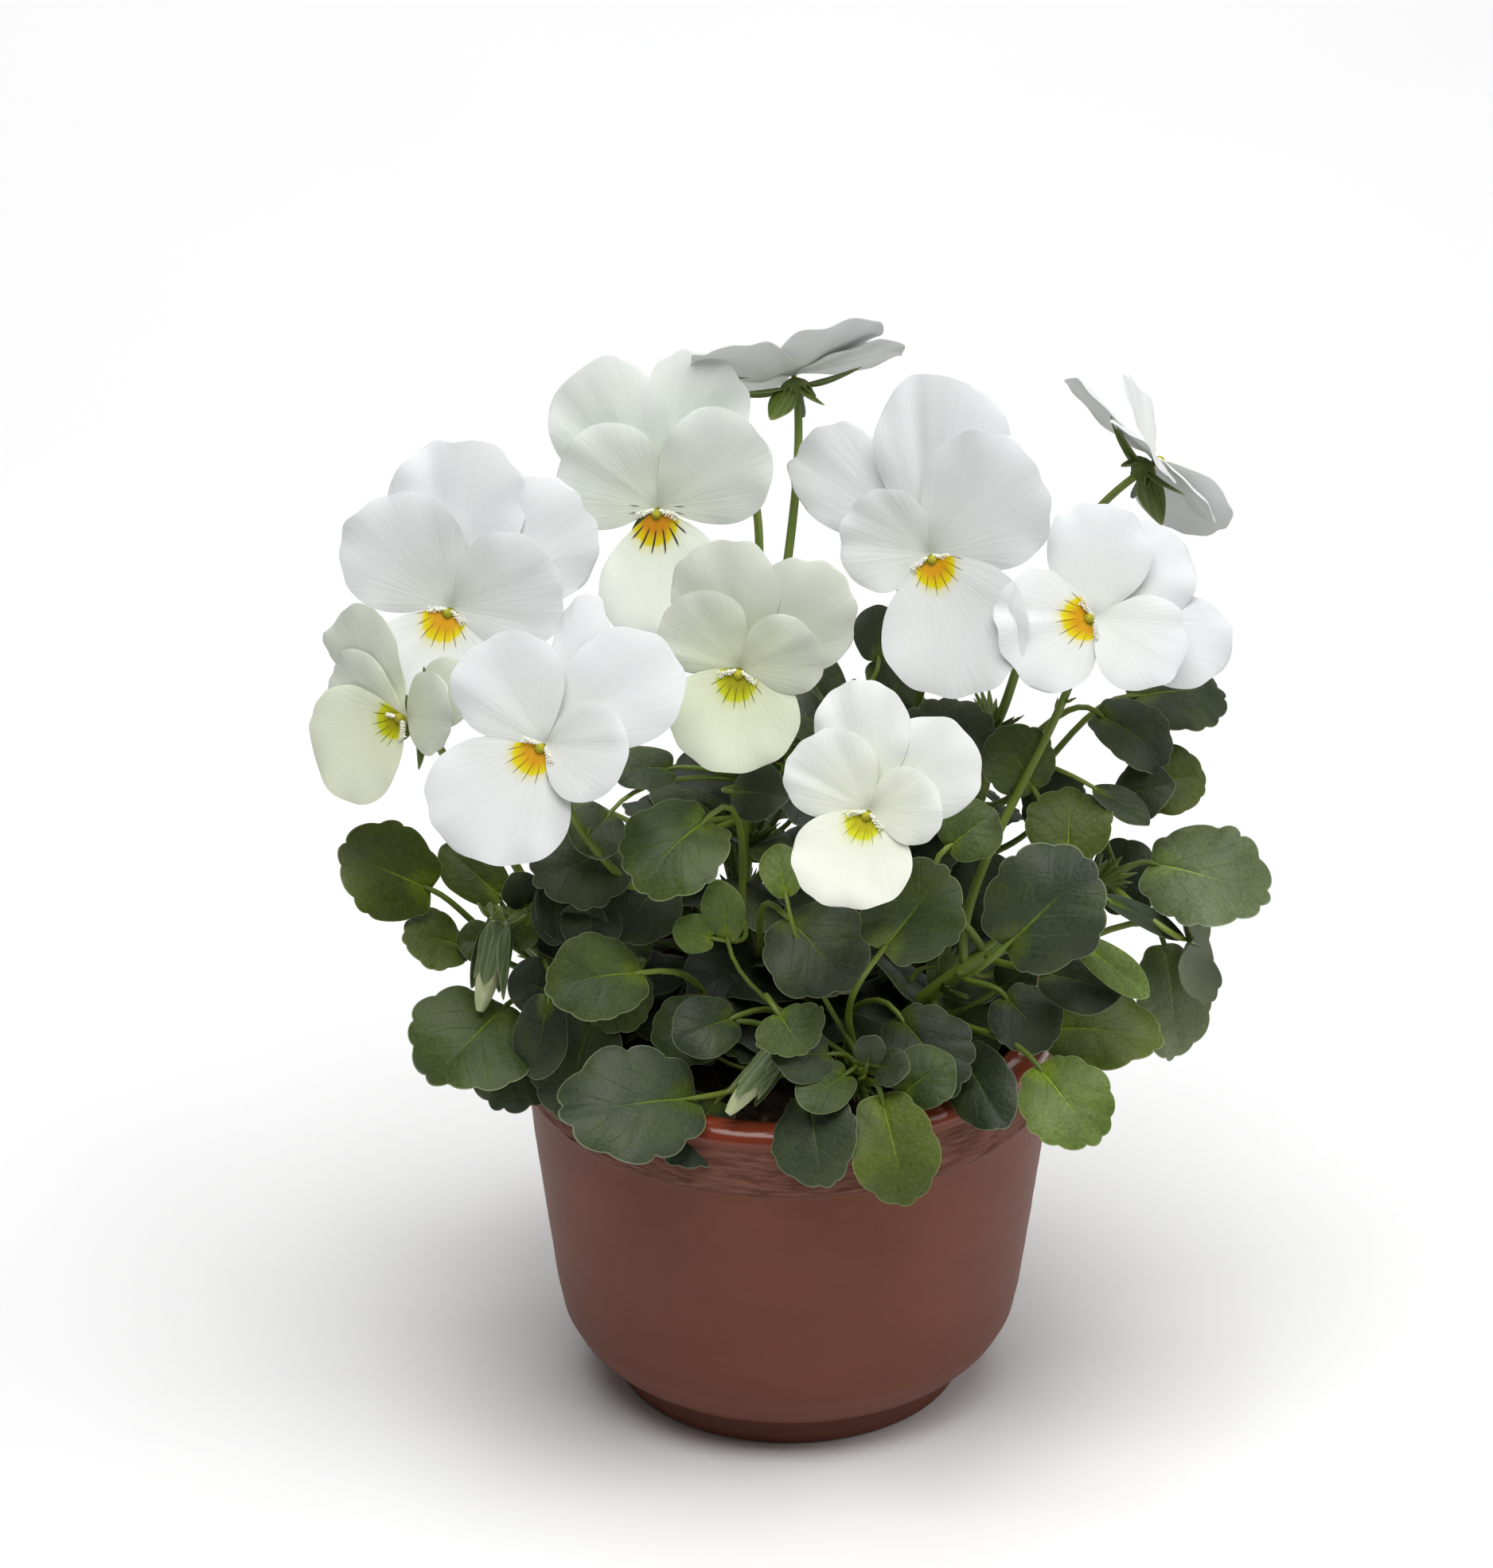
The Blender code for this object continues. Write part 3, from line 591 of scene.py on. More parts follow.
class Look:
    """One material and the one way its nodes are made."""

    def __init__(self, name, **constants):
        self.material = bpy.data.materials.new(name)
        self.material.use_nodes = True
        self.tree = self.material.node_tree
        self.shader = self.tree.nodes["Principled BSDF"]
        for key, value in constants.items():
            self.shader.inputs[key.replace("_", " ")].default_value = value

    def node(self, kind, settings=None, sockets=None, output=0):
        """Adds a node: its type, its settings, then its sockets' values or links."""
        made = self.tree.nodes.new("ShaderNode" + kind)
        for key, value in (settings or {}).items():
            setattr(made, key, value)
        for key, value in (sockets or {}).items():
            if isinstance(value, Value):
                self.tree.links.new(value.socket, made.inputs[key])
            else:
                made.inputs[key].default_value = value
        return Value(self, made.outputs[output])

    def place(self):
        """The point on the piece, in metres."""
        return self.node("TexCoord", output="Object")

    def marks(self):
        """The four numbers that a skin carries at each vertex."""
        vector = self.node("Attribute", {"attribute_name": "marks"}, output="Vector")
        return (*self.parts(vector), vector.output("Alpha"))

    def parts(self, vector):
        """The three parts of a vector."""
        x = self.node("SeparateXYZ", {}, {0: vector})
        return x, x.output("Y"), x.output("Z")

    def stretched(self, vector, scale):
        """The vector with each of its parts multiplied."""
        return self.node("VectorMath", {"operation": "MULTIPLY"}, {0: vector, 1: scale})

    def joined(self, x, y, z):
        """A vector made of three values."""
        return self.node("CombineXYZ", {}, {0: x, 1: y, 2: z})

    def noise(self, vector, scale, detail=2.0, rough=0.5):
        """Noise from 0 to 1 round 0.5, with scale waves to each unit of the vector."""
        sockets = {"Vector": vector, "Scale": scale, "Detail": detail, "Roughness": rough}
        return self.node("TexNoise", {}, sockets)

    def cells(self, vector, scale):
        """Distance from the nearest of many scattered points."""
        return self.node("TexVoronoi", {}, {"Vector": vector, "Scale": scale})

    def mix(self, share, first, second):
        """The first colour where share is 0 and the second where it is 1."""
        sockets = {0: share, 6: colour(first), 7: colour(second)}
        return self.node("Mix", {"data_type": "RGBA"}, sockets, output=2)

    def shaded(self, base, amount):
        """The colour made lighter or darker by a value."""
        sockets = {0: colour(base, 3), "Scale": amount}
        return self.node("VectorMath", {"operation": "SCALE"}, sockets)

    def bump(self, height, distance, strength=1.0, normal=None):
        """Surface relief: height 1 stands the given distance (m) above height 0."""
        sockets = {"Height": height, "Distance": distance, "Strength": strength}
        if normal is not None:
            sockets["Normal"] = normal
        return self.node("Bump", {}, sockets)

    def finish(self, **links):
        """Links values to the shader's sockets and gives back the material."""
        for key, value in links.items():
            self.tree.links.new(value.socket, self.shader.inputs[key.replace("_", " ")])
        return self.material


def colour(value, parts=4):
    """A colour for a socket, or the value itself where it is one already."""
    if isinstance(value, Value):
        return value
    return (*value[:3], 1.0)[:parts]


def toned(tone, factor):
    """A colour made darker or lighter."""
    return [factor * part for part in tone]


# ---- finishes

# Darker and lighter green of a blade, the green of its veins and of its margin. "shaded" is no age:
# it is a darker copy of the leaf finish that paints the shade on leaves deep inside the plant
LEAF_TONES = {
    # painted shade: the leaf finish made darker for leaves inside the plant
    "shaded": (
        (0.007, 0.013, 0.005), (0.024, 0.035, 0.013), (0.055, 0.080, 0.006), (0.11, 0.14, 0.065)),
    "old": (
        (0.019, 0.031, 0.013), (0.052, 0.071, 0.029), (0.090, 0.132, 0.009), (0.20, 0.24, 0.13)),
    "olive": (
        (0.048, 0.072, 0.005), (0.105, 0.145, 0.017), (0.150, 0.205, 0.008), (0.24, 0.30, 0.10)),
    "grown": (
        (0.030, 0.051, 0.007), (0.074, 0.106, 0.024), (0.125, 0.182, 0.010), (0.24, 0.30, 0.14)),
    "young": (
        (0.080, 0.128, 0.016), (0.165, 0.235, 0.048), (0.20, 0.28, 0.014), (0.31, 0.38, 0.16)),
    "pale": (
        (0.080, 0.110, 0.036), (0.150, 0.190, 0.088), (0.190, 0.260, 0.060), (0.30, 0.35, 0.22)),
}
# Petal colour of the upper and side petals and of the lip, the tinge near the
# throat, and the mark on the lip: its reach (mm), inner and outer colour, the
# colour of its lines, their strength and half width (mm)
PETAL_TONES = {
    "cool": ((0.76, 0.78, 0.78), (0.775, 0.79, 0.785), (0.74, 0.77, 0.70), 8.3,
             (0.66, 0.32, 0.0), (0.74, 0.62, 0.0), (0.10, 0.04, 0.0), 0.7, 0.14),
    "mint": ((0.76, 0.81, 0.75), (0.81, 0.86, 0.77), (0.72, 0.78, 0.60), 8.8,
             (0.56, 0.23, 0.0), (0.68, 0.56, 0.0), (0.02, 0.01, 0.03), 0.95, 0.23),
    # cream: the upper and side petals are darker and greyer than the lip, partly their own greyish
    # green and partly painted shade of the cupped upper petals
    "cream": ((0.60, 0.63, 0.545), (0.75, 0.79, 0.61), (0.64, 0.68, 0.46), 7.6,
              (0.34, 0.31, 0.0), (0.54, 0.57, 0.01), (0.05, 0.06, 0.0), 0.8, 0.13),
    "ivory": ((0.78, 0.80, 0.765), (0.95, 0.975, 0.84), (0.78, 0.81, 0.62), 7.0,
              (0.46, 0.42, 0.0), (0.68, 0.70, 0.01), (0.12, 0.11, 0.0), 0.55, 0.12),
}


def clay_look():
    """Unglazed red-brown clay: smooth wall, scratched band, glazed rim and inside."""
    options = bpy.context.scene.pansy_pot
    look = Look("fired_clay", Coat_Roughness=0.1, Specular_IOR_Level=0.25)
    point = look.place()
    x, y, z = look.parts(point)
    height = z * (1.0 / MM)
    radius = (x * x + y * y) ** 0.5 * (1.0 / MM)
    drift = look.noise(look.stretched(point, (30.0, 30.0, 60.0)), 1.0, 3.0)
    streaks = look.noise(look.stretched(point, (110.0, 110.0, 1500.0)), 1.0, 4.0, 0.6)
    scratches = look.noise(look.stretched(point, (160.0, 160.0, 1100.0)), 1.0, 5.0, 0.7)
    grit = look.noise(point, 900.0, 2.0)
    ragged = height + (look.noise(point, 260.0, 3.0) - 0.5) * 1.3
    band = ragged.band(BAND_BOTTOM - 0.5, BAND_BOTTOM + 0.3, BAND_TOP - 0.3, BAND_TOP + 0.6)
    groove = ragged.band(BAND_BOTTOM - 0.9, BAND_BOTTOM - 0.2, BAND_BOTTOM, BAND_BOTTOM + 0.8)
    inside = (radius - height * 0.1).step(48.2, 47.8) * height.step(60.0, 62.0)
    glaze = ragged.step(GLAZE_BOTTOM - 0.4, GLAZE_BOTTOM + 0.3).greater(inside)
    clay_tone, glaze_tone = options.clay_colour, options.glaze_colour
    body = look.mix(drift, toned(clay_tone, 0.82), toned(clay_tone, 1.16))
    # The last factor makes the wall up to 16% darker towards the foot: painted shade on the lower
    # pot.
    body = look.shaded(body, (0.9 + streaks * 0.2) * (0.84 + height.step(0.0, 50.0) * 0.16))
    rough = look.mix(scratches.step(0.35, 0.65), (0.105, 0.036, 0.022), (0.205, 0.088, 0.060))
    clay = look.shaded(look.mix(band, body, rough), 1.0 - groove * 0.35)
    shine = look.mix(drift.step(0.3, 0.7), glaze_tone, toned(glaze_tone, 1.7))
    relief = streaks * 0.25 + grit * 0.12 + band * (scratches * 1.6 - groove * 0.6)
    return look.finish(
        Base_Color=look.mix(glaze, clay, shine),
        Roughness=(0.46 + streaks * 0.12 + band * 0.3) * (1.0 - glaze) + glaze * 0.26,
        Coat_Weight=glaze * 0.45,
        Normal=look.bump(relief * (1.0 - glaze), 0.3 * MM, 0.7),
    )


def soil_look():
    """Dark crumbly compost with paler fibres."""
    look = Look("compost", Roughness=0.95, Specular_IOR_Level=0.25)
    point = look.place()
    lumps = look.noise(point, 180.0, 5.0, 0.65)
    specks = look.cells(point, 520.0)
    fibres = look.noise(look.stretched(point, (1.0, 0.25, 1.0)), 420.0, 2.0)
    dark = look.mix(lumps.step(0.35, 0.7), (0.010, 0.0065, 0.0045), (0.050, 0.031, 0.019))
    base = look.mix(fibres.step(0.66, 0.74), dark, (0.13, 0.085, 0.05))
    relief = lumps * 1.0 + specks * 0.5
    return look.finish(Base_Color=base, Normal=look.bump(relief, 1.2 * MM, 0.9))


def crumb_look():
    """Bits of bark and fibre that lie on the soil."""
    look = Look("bark_crumbs", Roughness=0.9, Specular_IOR_Level=0.25)
    point = look.place()
    tone = look.noise(point, 140.0, 2.0)
    grain = look.noise(point, 1500.0, 3.0)
    base = look.mix(tone.step(0.4, 0.65), (0.016, 0.010, 0.007), (0.085, 0.050, 0.028))
    base = look.shaded(base, 0.7 + grain * 0.6)
    return look.finish(Base_Color=base, Normal=look.bump(grain, 0.4 * MM))


def shoot_look():
    """Juicy green stems that drift between a darker and a paler green, with fine lengthwise streaks.
    """
    look = Look("juicy_stem", Roughness=0.42, Subsurface_Weight=0.08, Subsurface_Scale=2.0 * MM)
    turn, along, _, _ = look.marks()
    point = look.place()
    streaks = look.noise(look.joined(turn * 9.0, along * 2.0, along * 0.3), 3.0, 3.0)
    drift = look.noise(point, 45.0, 2.0)
    base = look.mix(drift.step(0.3, 0.7), (0.095, 0.145, 0.012), (0.20, 0.27, 0.032))
    base = look.shaded(base, 0.75 + streaks * 0.5)
    return look.finish(Base_Color=base, Normal=look.bump(streaks, 0.2 * MM, 0.6))


def leaf_look(age_and_shade):
    """A scalloped blade: granular skin, pale margin, midrib and faint side veins.  The grain's paler
    specks are partly the skin's own and partly painted glints.
    """
    dark, light, vein, margin = LEAF_TONES[age_and_shade]
    options = bpy.context.scene.pansy_leaves
    look = Look("leaf_" + age_and_shade, Sheen_Weight=0.05, Sheen_Roughness=0.4, Specular_IOR_Level=0.38)
    x, y, rim, under = look.marks()
    point = look.place()
    drift = look.noise(point, 38.0, 3.0, 0.6)
    grain = look.noise(point, options.grain_scale, 2.0)
    middle = abs(x)
    midrib = middle.step(0.038, 0.006) * y.step(0.75, 0.2)
    branch = ((y - middle * 0.60) * 4.3 + drift * 1.6).frac() - 0.5
    side_vein = abs(branch).step(0.045, 0.0) * middle.step(0.0, 0.12) * middle.step(0.9, 0.35)
    olive = look.noise(point, 75.0, 1.0).step(0.48, 0.72)
    glow = (x * x * 5.0 + y * y * 8.0 + (drift - 0.5) * 0.9).step(0.9, 0.0)
    base = look.mix(drift.step(0.3, 0.72), dark, light)
    base = look.mix(olive * 0.45, base, toned(vein, 0.55))
    base = look.mix(glow * 0.7, base, vein)
    base = look.mix(midrib * 0.85 + side_vein * 0.14, base, toned(vein, 1.5))
    # Grain in the colour: partly the skin's own speckle, partly painted glints of the granular skin.
    base = look.shaded(base, 0.50 + grain)
    edge = rim.step(0.980, 0.990) * (drift.step(0.2, 0.6) * 0.5 + 0.5)
    base = look.mix(edge * options.margin_strength, base, margin)
    below = look.shaded(look.mix(0.5, light, margin), 0.75 + grain * 0.3)
    relief = grain * 0.6 - midrib * 0.8 - side_vein * 0.35
    return look.finish(
        Base_Color=look.mix(under, base, below),
        Roughness=0.42 + grain * 0.22 + under * 0.1,
        Normal=look.bump(relief, 0.35 * MM, 0.75),
    )


def eye_lines(look, point, away, turn, reach, width):
    """1 on the dark lines that run out from the throat at even angles, each of its
    own length, thickest in its middle.  On the lip there are seven and they follow
    the reach of its mark; on a side petal, whose reach is None, there are two."""
    spacing = EYE_LINE_SPACING
    spot = (turn + (look.noise(point, 70.0, 0.0) - 0.5) * 0.3) * (1.0 / spacing) + 0.5
    from_line = abs(spot.frac() - 0.5) * spacing * away
    length = look.noise(look.joined(spot.math("FLOOR") * 3.7, 0.5, 0.5), 1.0, 0.0)
    if reach:
        near, far = 0.5 * reach, reach * (0.92 + length * 0.45) - turn * turn * 2.2
        span = abs(turn).step(3.6 * spacing, 3.4 * spacing)
        middle = 0.9 * reach
    else:
        near, far = 3.6, 5.6 + length * 1.6
        span = turn.band(1.4 * spacing, 1.6 * spacing, 3.4 * spacing, 3.6 * spacing)
        middle, width = 5.0, 0.5 * width
    taper = width - abs(away - middle) * 0.028
    stripe = (from_line - taper).step(0.07, -0.05)
    return stripe * away.step(near, near + 1.2) * (away - far).step(0.6, -0.8) * span


def petal_look(tone, role):
    """A satin petal with fine fan veins.  The lip carries the golden eye with its
    dark lines, and the side petals of the mint tone have lines on the lip's side."""
    petal, lip, tinge, reach, inner, outer, line, strength, line_width = PETAL_TONES[tone]
    options = bpy.context.scene.pansy_flowers
    look = Look(
        f"petal_{tone}_{role}", Subsurface_Weight=options.translucency,
        Subsurface_Scale=1.2 * MM, Subsurface_Radius=(1.0, 1.0, 0.9),
        Specular_IOR_Level=0.25, Sheen_Weight=0.04, Sheen_Roughness=0.5,
    )
    x, y, _, under = look.marks()
    point = look.place()
    away = (x * x + y * y) ** 0.5
    turn = x.math("ARCTAN2", y)
    veins = look.noise(look.joined(turn * 16.0, away * 0.05, 0.0), 1.0, 3.0, 0.6)
    soft = look.noise(point, 60.0, 2.0)
    base = look.mix(away.step(20.0, 3.0) * 0.75, lip if role == "lip" else petal, tinge)
    base = look.shaded(base, 0.955 + veins * 0.05 + soft * 0.04)
    if role == "lip":
        jag = look.noise(look.joined(turn * 6.0, away * 0.15, 3.0), 1.0, 2.0)
        edge = away * (turn * turn * 0.42 + 1.0) + (jag - 0.5) * 2.4
        base = look.mix(edge.step(reach * 1.35, reach * 0.9) * 0.4, base, outer)
        base = look.mix(edge.step(reach * 1.06, reach * 0.92), base, outer)
        base = look.mix(edge.step(reach * 0.96, reach * 0.55), base, inner)
    if role == "lip" or (role == "side" and tone == "mint"):
        lines = eye_lines(look, point, away, turn, reach if role == "lip" else None, line_width)
        base = look.mix(lines * options.line_strength * strength, base, line)
    if role == "lip":
        base = look.mix(away.step(3.0, 1.4), base, (0.26, 0.27, 0.01))
        base = look.mix(under, base, petal)
    relief = veins * 0.8 + soft * 0.6
    return look.finish(
        Base_Color=base,
        Roughness=0.5 + veins * 0.12,
        Normal=look.bump(relief, 0.35 * MM, 0.5),
    )


def sepal_look(name, dark, light):
    """Green sepals with paler lengthwise stripes and a thin pale margin."""
    look = Look(name, Roughness=0.5)
    x, y, rim, _ = look.marks()
    grain = look.noise(look.place(), 1200.0, 2.0)
    stripe = (abs(x) * 2.6 + y * 0.3).frac() - 0.5
    base = look.mix(abs(stripe).step(0.30, 0.08) * 0.45, dark, light)
    base = look.mix(rim.step(0.93, 0.98) * 0.5, base, (0.30, 0.36, 0.16))
    base = look.shaded(base, 0.8 + grain * 0.4)
    return look.finish(Base_Color=base, Normal=look.bump(grain, 0.2 * MM, 0.6))


def plain_look(name, dark, light, roughness, scale):
    """A soft finish that drifts between two close colours."""
    look = Look(name, Roughness=roughness)
    drift = look.noise(look.place(), scale, 3.0)
    return look.finish(
        Base_Color=look.mix(drift.step(0.3, 0.7), dark, light),
        Normal=look.bump(drift, 0.2 * MM, 0.4),
    )


LOOK_MAKERS = {
    "fired_clay": clay_look,
    "compost": soil_look,
    "bark_crumbs": crumb_look,
    "juicy_stem": shoot_look,
    "leaf": leaf_look,
    "petal": petal_look,
}
# Darker and lighter colour of the sepals
SEPAL_TONES = {
    "striped_sepal": ((0.085, 0.125, 0.012), (0.17, 0.23, 0.045)),
    "bud_sepal": ((0.10, 0.14, 0.05), (0.24, 0.30, 0.15)),
}
# Darker and lighter colour, roughness, and fineness of the drift between them
PLAIN_TONES = {
    "beard": ((0.86, 0.87, 0.74), (0.92, 0.92, 0.84), 0.9, 900.0),
    "style_green": ((0.34, 0.31, 0.005), (0.46, 0.43, 0.01), 0.6, 700.0),
    "spur": ((0.10, 0.11, 0.08), (0.22, 0.24, 0.20), 0.5, 300.0),
    "bud_petal": ((0.50, 0.56, 0.30), (0.66, 0.70, 0.42), 0.55, 200.0),
    "studio_floor": ((0.93, 0.93, 0.93), (0.95, 0.95, 0.95), 0.8, 3.0),
}
LOOKS_MADE = {}


def get_look(words):
    """The finish of that name, made the first time it is asked for.  A leaf's age, or
    "shaded" for its painted-shade finish, or a petal's tone and role, stand behind its first word."""
    if words not in LOOKS_MADE:
        name, *parts = words.split()
        if name in SEPAL_TONES:
            made = sepal_look(name, *SEPAL_TONES[name])
        elif name in PLAIN_TONES:
            made = plain_look(name, *PLAIN_TONES[name])
        else:
            made = LOOK_MAKERS[name](*parts)
        LOOKS_MADE[words] = made
    return LOOKS_MADE[words]


# ---- pot and soil


def pot_ruffle(angle, height, radius):
    """What is added to the pot's radius: broad and fine noise of under 0.1 mm on the
    wall, and long scratches of about 0.2 mm on the band under the rim."""
    place = np.stack((60.0 * np.cos(angle), 60.0 * np.sin(angle), height * 6.0), axis=-1)
    wall = smooth_step(4.0, 10.0, height) * (radius > 40.0)
    band = (smooth_step(BAND_BOTTOM, BAND_BOTTOM + 1.0, height)
            * smooth_step(BAND_TOP, BAND_TOP - 1.0, height) * (radius > 59.0))
    fine = value_noise(place, 0.25, 3) - 0.5
    broad = value_noise(place, 0.05, 5) - 0.5
    return wall * (0.12 * broad + 0.05 * fine) + band * 0.45 * fine


def make_pot():
    """The pot: a fine profile with rounded corners turned about Z."""
    underside = ((30.0, 0.0), (35.5, 0.0))
    outside = finer(rounded(((0.0, 0.0),) + POT_OUTSIDE, 0.8)[1:], 0.8)
    inside = finer(POT_INSIDE, 6.0)
    floor = ((20.0, FLOOR_THICKNESS + 0.2), (6.0, FLOOR_THICKNESS))
    skin = Skin()
    profile = np.vstack((underside, outside, inside, floor))
    skin.add(*turned_skin(profile, POT_SIDES, pot_ruffle))
    skin.piece("pot_clay", ["fired_clay"], ["pot"])


def make_soil():
    """The root ball: the pot's inner profile, topped by a dome roughened with noise."""
    bottom = [(3.0, FLOOR_THICKNESS + 0.8)]
    wall = [(r - SOIL_GAP, z) for r, z in reversed(POT_INSIDE) if z < SOIL_LEVEL - 2.0]
    dome = [(r, soil_height(r, 0.0)) for r in SOIL_RADIUS * np.linspace(1.0, 0.02, 56)]
    points, faces = turned_skin(bottom + wall + dome, SOIL_SIDES)
    top = smooth_step(SOIL_LEVEL - 1.0, SOIL_LEVEL, points[:, 2])
    lumps = value_noise(points, 0.28, 11) + 0.55 * value_noise(points, 0.75, 12) - 0.8
    points[:, 2] += top * 1.9 * lumps
    skin = Skin()
    skin.add(points, faces)
    skin.piece("soil_bed", ["compost"], ["soil"])


def make_crumbs():
    """Bark crumbs on the soil: a small seven-sided ball, set down many times with
    its three axes drawn at random, unequal in length and never mirrored."""
    rng = np.random.default_rng(CRUMB_SEED)
    count = bpy.context.scene.pansy_pot.crumbs
    reach = CRUMB_REACH * np.sqrt(rng.random(count))
    a = 2.0 * np.pi * rng.random(count)
    x, y = reach * np.cos(a), reach * np.sin(a)
    centres = np.stack((x, y, soil_height(x, y) + 0.3), axis=1)
    frames = unit(rng.normal(size=(count, 3, 3))) * (0.5 + 1.3 * rng.random((count, 1, 1)) ** 2)
    frames = frames * np.array((1.0, 0.8, 0.55))[None, :, None]
    frames[:, 2] *= np.where(np.linalg.det(frames) < 0.0, -1.0, 1.0)[:, None]
    skin = Skin()
    ball = turned_skin([(0.55, -0.8), (1.0, -0.1), (0.75, 0.6)], 7)
    add_copies(skin, *ball, centres, frames)
    skin.piece("soil_crumbs", ["bark_crumbs"], sharp=180.0)


# ---- stems and leaves


def stem_route(stem, steps_each=3):
    """Points along a stem from the soil to its growing tip, as on the solid part."""
    foot, points = STEMS[stem][:2]
    route = ((*foot, soil_height(*foot) + STEM_GAP),) + points
    return smooth_curve(route, steps_each * len(points) + 1)


def stem_radius(stem, share):
    """A stem's radius at a share of its length."""
    low, tip = STEMS[stem][2:]
    return low + (tip - low) * share


def step_at(path, share):
    """The last point before a share of a path, the step from there to the next point,
    and how much of that step leads up to the share."""
    place = share * (len(path) - 1)
    i = min(int(place), len(path) - 2)
    return path[i], path[i + 1] - path[i], place - i


def start_on_stem(stem, share, goal):
    """Where a petiole or stalk leaves its stem for the goal, and the way it leaves."""
    point, step, part = step_at(stem_route(stem), share)
    centre = point + step * part
    outward = across(np.asarray(goal, float) - centre, unit(step))
    return centre + outward * 0.5 * stem_radius(stem, share), outward


def nearest_on_stems(base, tip):
    """The stem, and the share along it, that best carries a leaf there: the least
    distance from a point 8 mm behind the blade's base.  Height from 4 mm below that
    point upwards counts threefold, and the stem's first two points are left out."""
    behind = np.asarray(base, float) - 8.0 * unit(np.subtract(tip, base).astype(float))
    best = []
    for stem in STEMS:
        path = stem_route(stem)
        gap = path[2:] - behind
        gap[:, 2] = np.where(gap[:, 2] > -4.0, 3.0 * (gap[:, 2] + 4.0), gap[:, 2])
        cost = np.linalg.norm(gap, axis=1)
        at = int(np.argmin(cost))
        best.append((cost[at], stem, (at + 2) / (len(path) - 1)))
    return min(best)[1:]


def make_stem(stem):
    """A stem: a tapering bar with four faint ribs, a swelling at each sixth of its
    length and a rounded tip."""
    path = stem_route(stem, 10)
    path = np.vstack((path[0] - STEM_ROOT * UP, path))
    along = np.linspace(0.0, 1.0, len(path))
    radii = stem_radius(stem, along) * (1.0 + 0.10 * np.cos(6.0 * np.pi * along) ** 8)
    radii = radii * np.sqrt(np.clip((1.0 - along) * 12.0 + 0.1, 0.0, 1.0))
    skin = Skin()
    add_tube(skin, path, radii, 14, ribs=0.07)
    skin.piece(stem + "_shoot", ["juicy_stem"], [stem])


def rim_steps(count):
    """For count steps round a blade's rim, from its base round by its tip: the share
    p of the way to the tip, the side (1 or -1) and the eased share s of the length,
    (1 - cos(pi p)) / 2."""
    t = 2.0 * np.arange(count) / count
    p = np.where(t <= 1.0, t, 2.0 - t)
    return p, np.where(t <= 1.0, 1.0, -1.0), 0.5 * (1.0 - np.cos(np.pi * p))


def leaf_outline(length, width, lobes, heart, rng, count):
    """The scalloped rim of a leaf in its own plane, from the base round by the tip.

    At a share p of the way to the tip and s of the length, the half width is
    0.5 * width * sin(pi s^1.1)^0.55 and the height length * s, less a heart-shaped
    dip near the base.  Scallops |sin(pi q)|^0.6, with q running over the lobes of
    each side, push the rim out along its own normal."""
    p, hand, s = rim_steps(count)
    half = 0.5 * width * np.maximum(np.sin(np.pi * s ** 1.1), 0.0) ** 0.55
    dip = heart * length * np.sin(np.pi * np.clip(p / 0.5, 0.0, 1.0)) ** 2
    rim = np.stack((hand * half, length * s - dip), axis=1)
    phase = np.where(hand > 0.0, rng.uniform(0.0, 6.28), rng.uniform(0.0, 6.28))
    q = (lobes + 0.5) * np.clip((p - 0.1) / 0.9, 0.0, 1.0)
    q = q + 0.22 * np.sin(10.0 * p + phase) * np.sin(np.pi * p)
    depth = SCALLOP_DEPTH * smooth_step(8.0, 24.0, width) * rng.uniform(0.55, 1.0)
    scallop = np.abs(np.sin(np.pi * q)) ** 0.6 - 0.78
    push = depth * width * scallop * smooth_step(0.08, 0.28, p)
    along = unit(np.roll(rim, -1, axis=0) - np.roll(rim, 1, axis=0))
    return rim + push[:, None] * np.stack((along[:, 1], -along[:, 0]), axis=1)


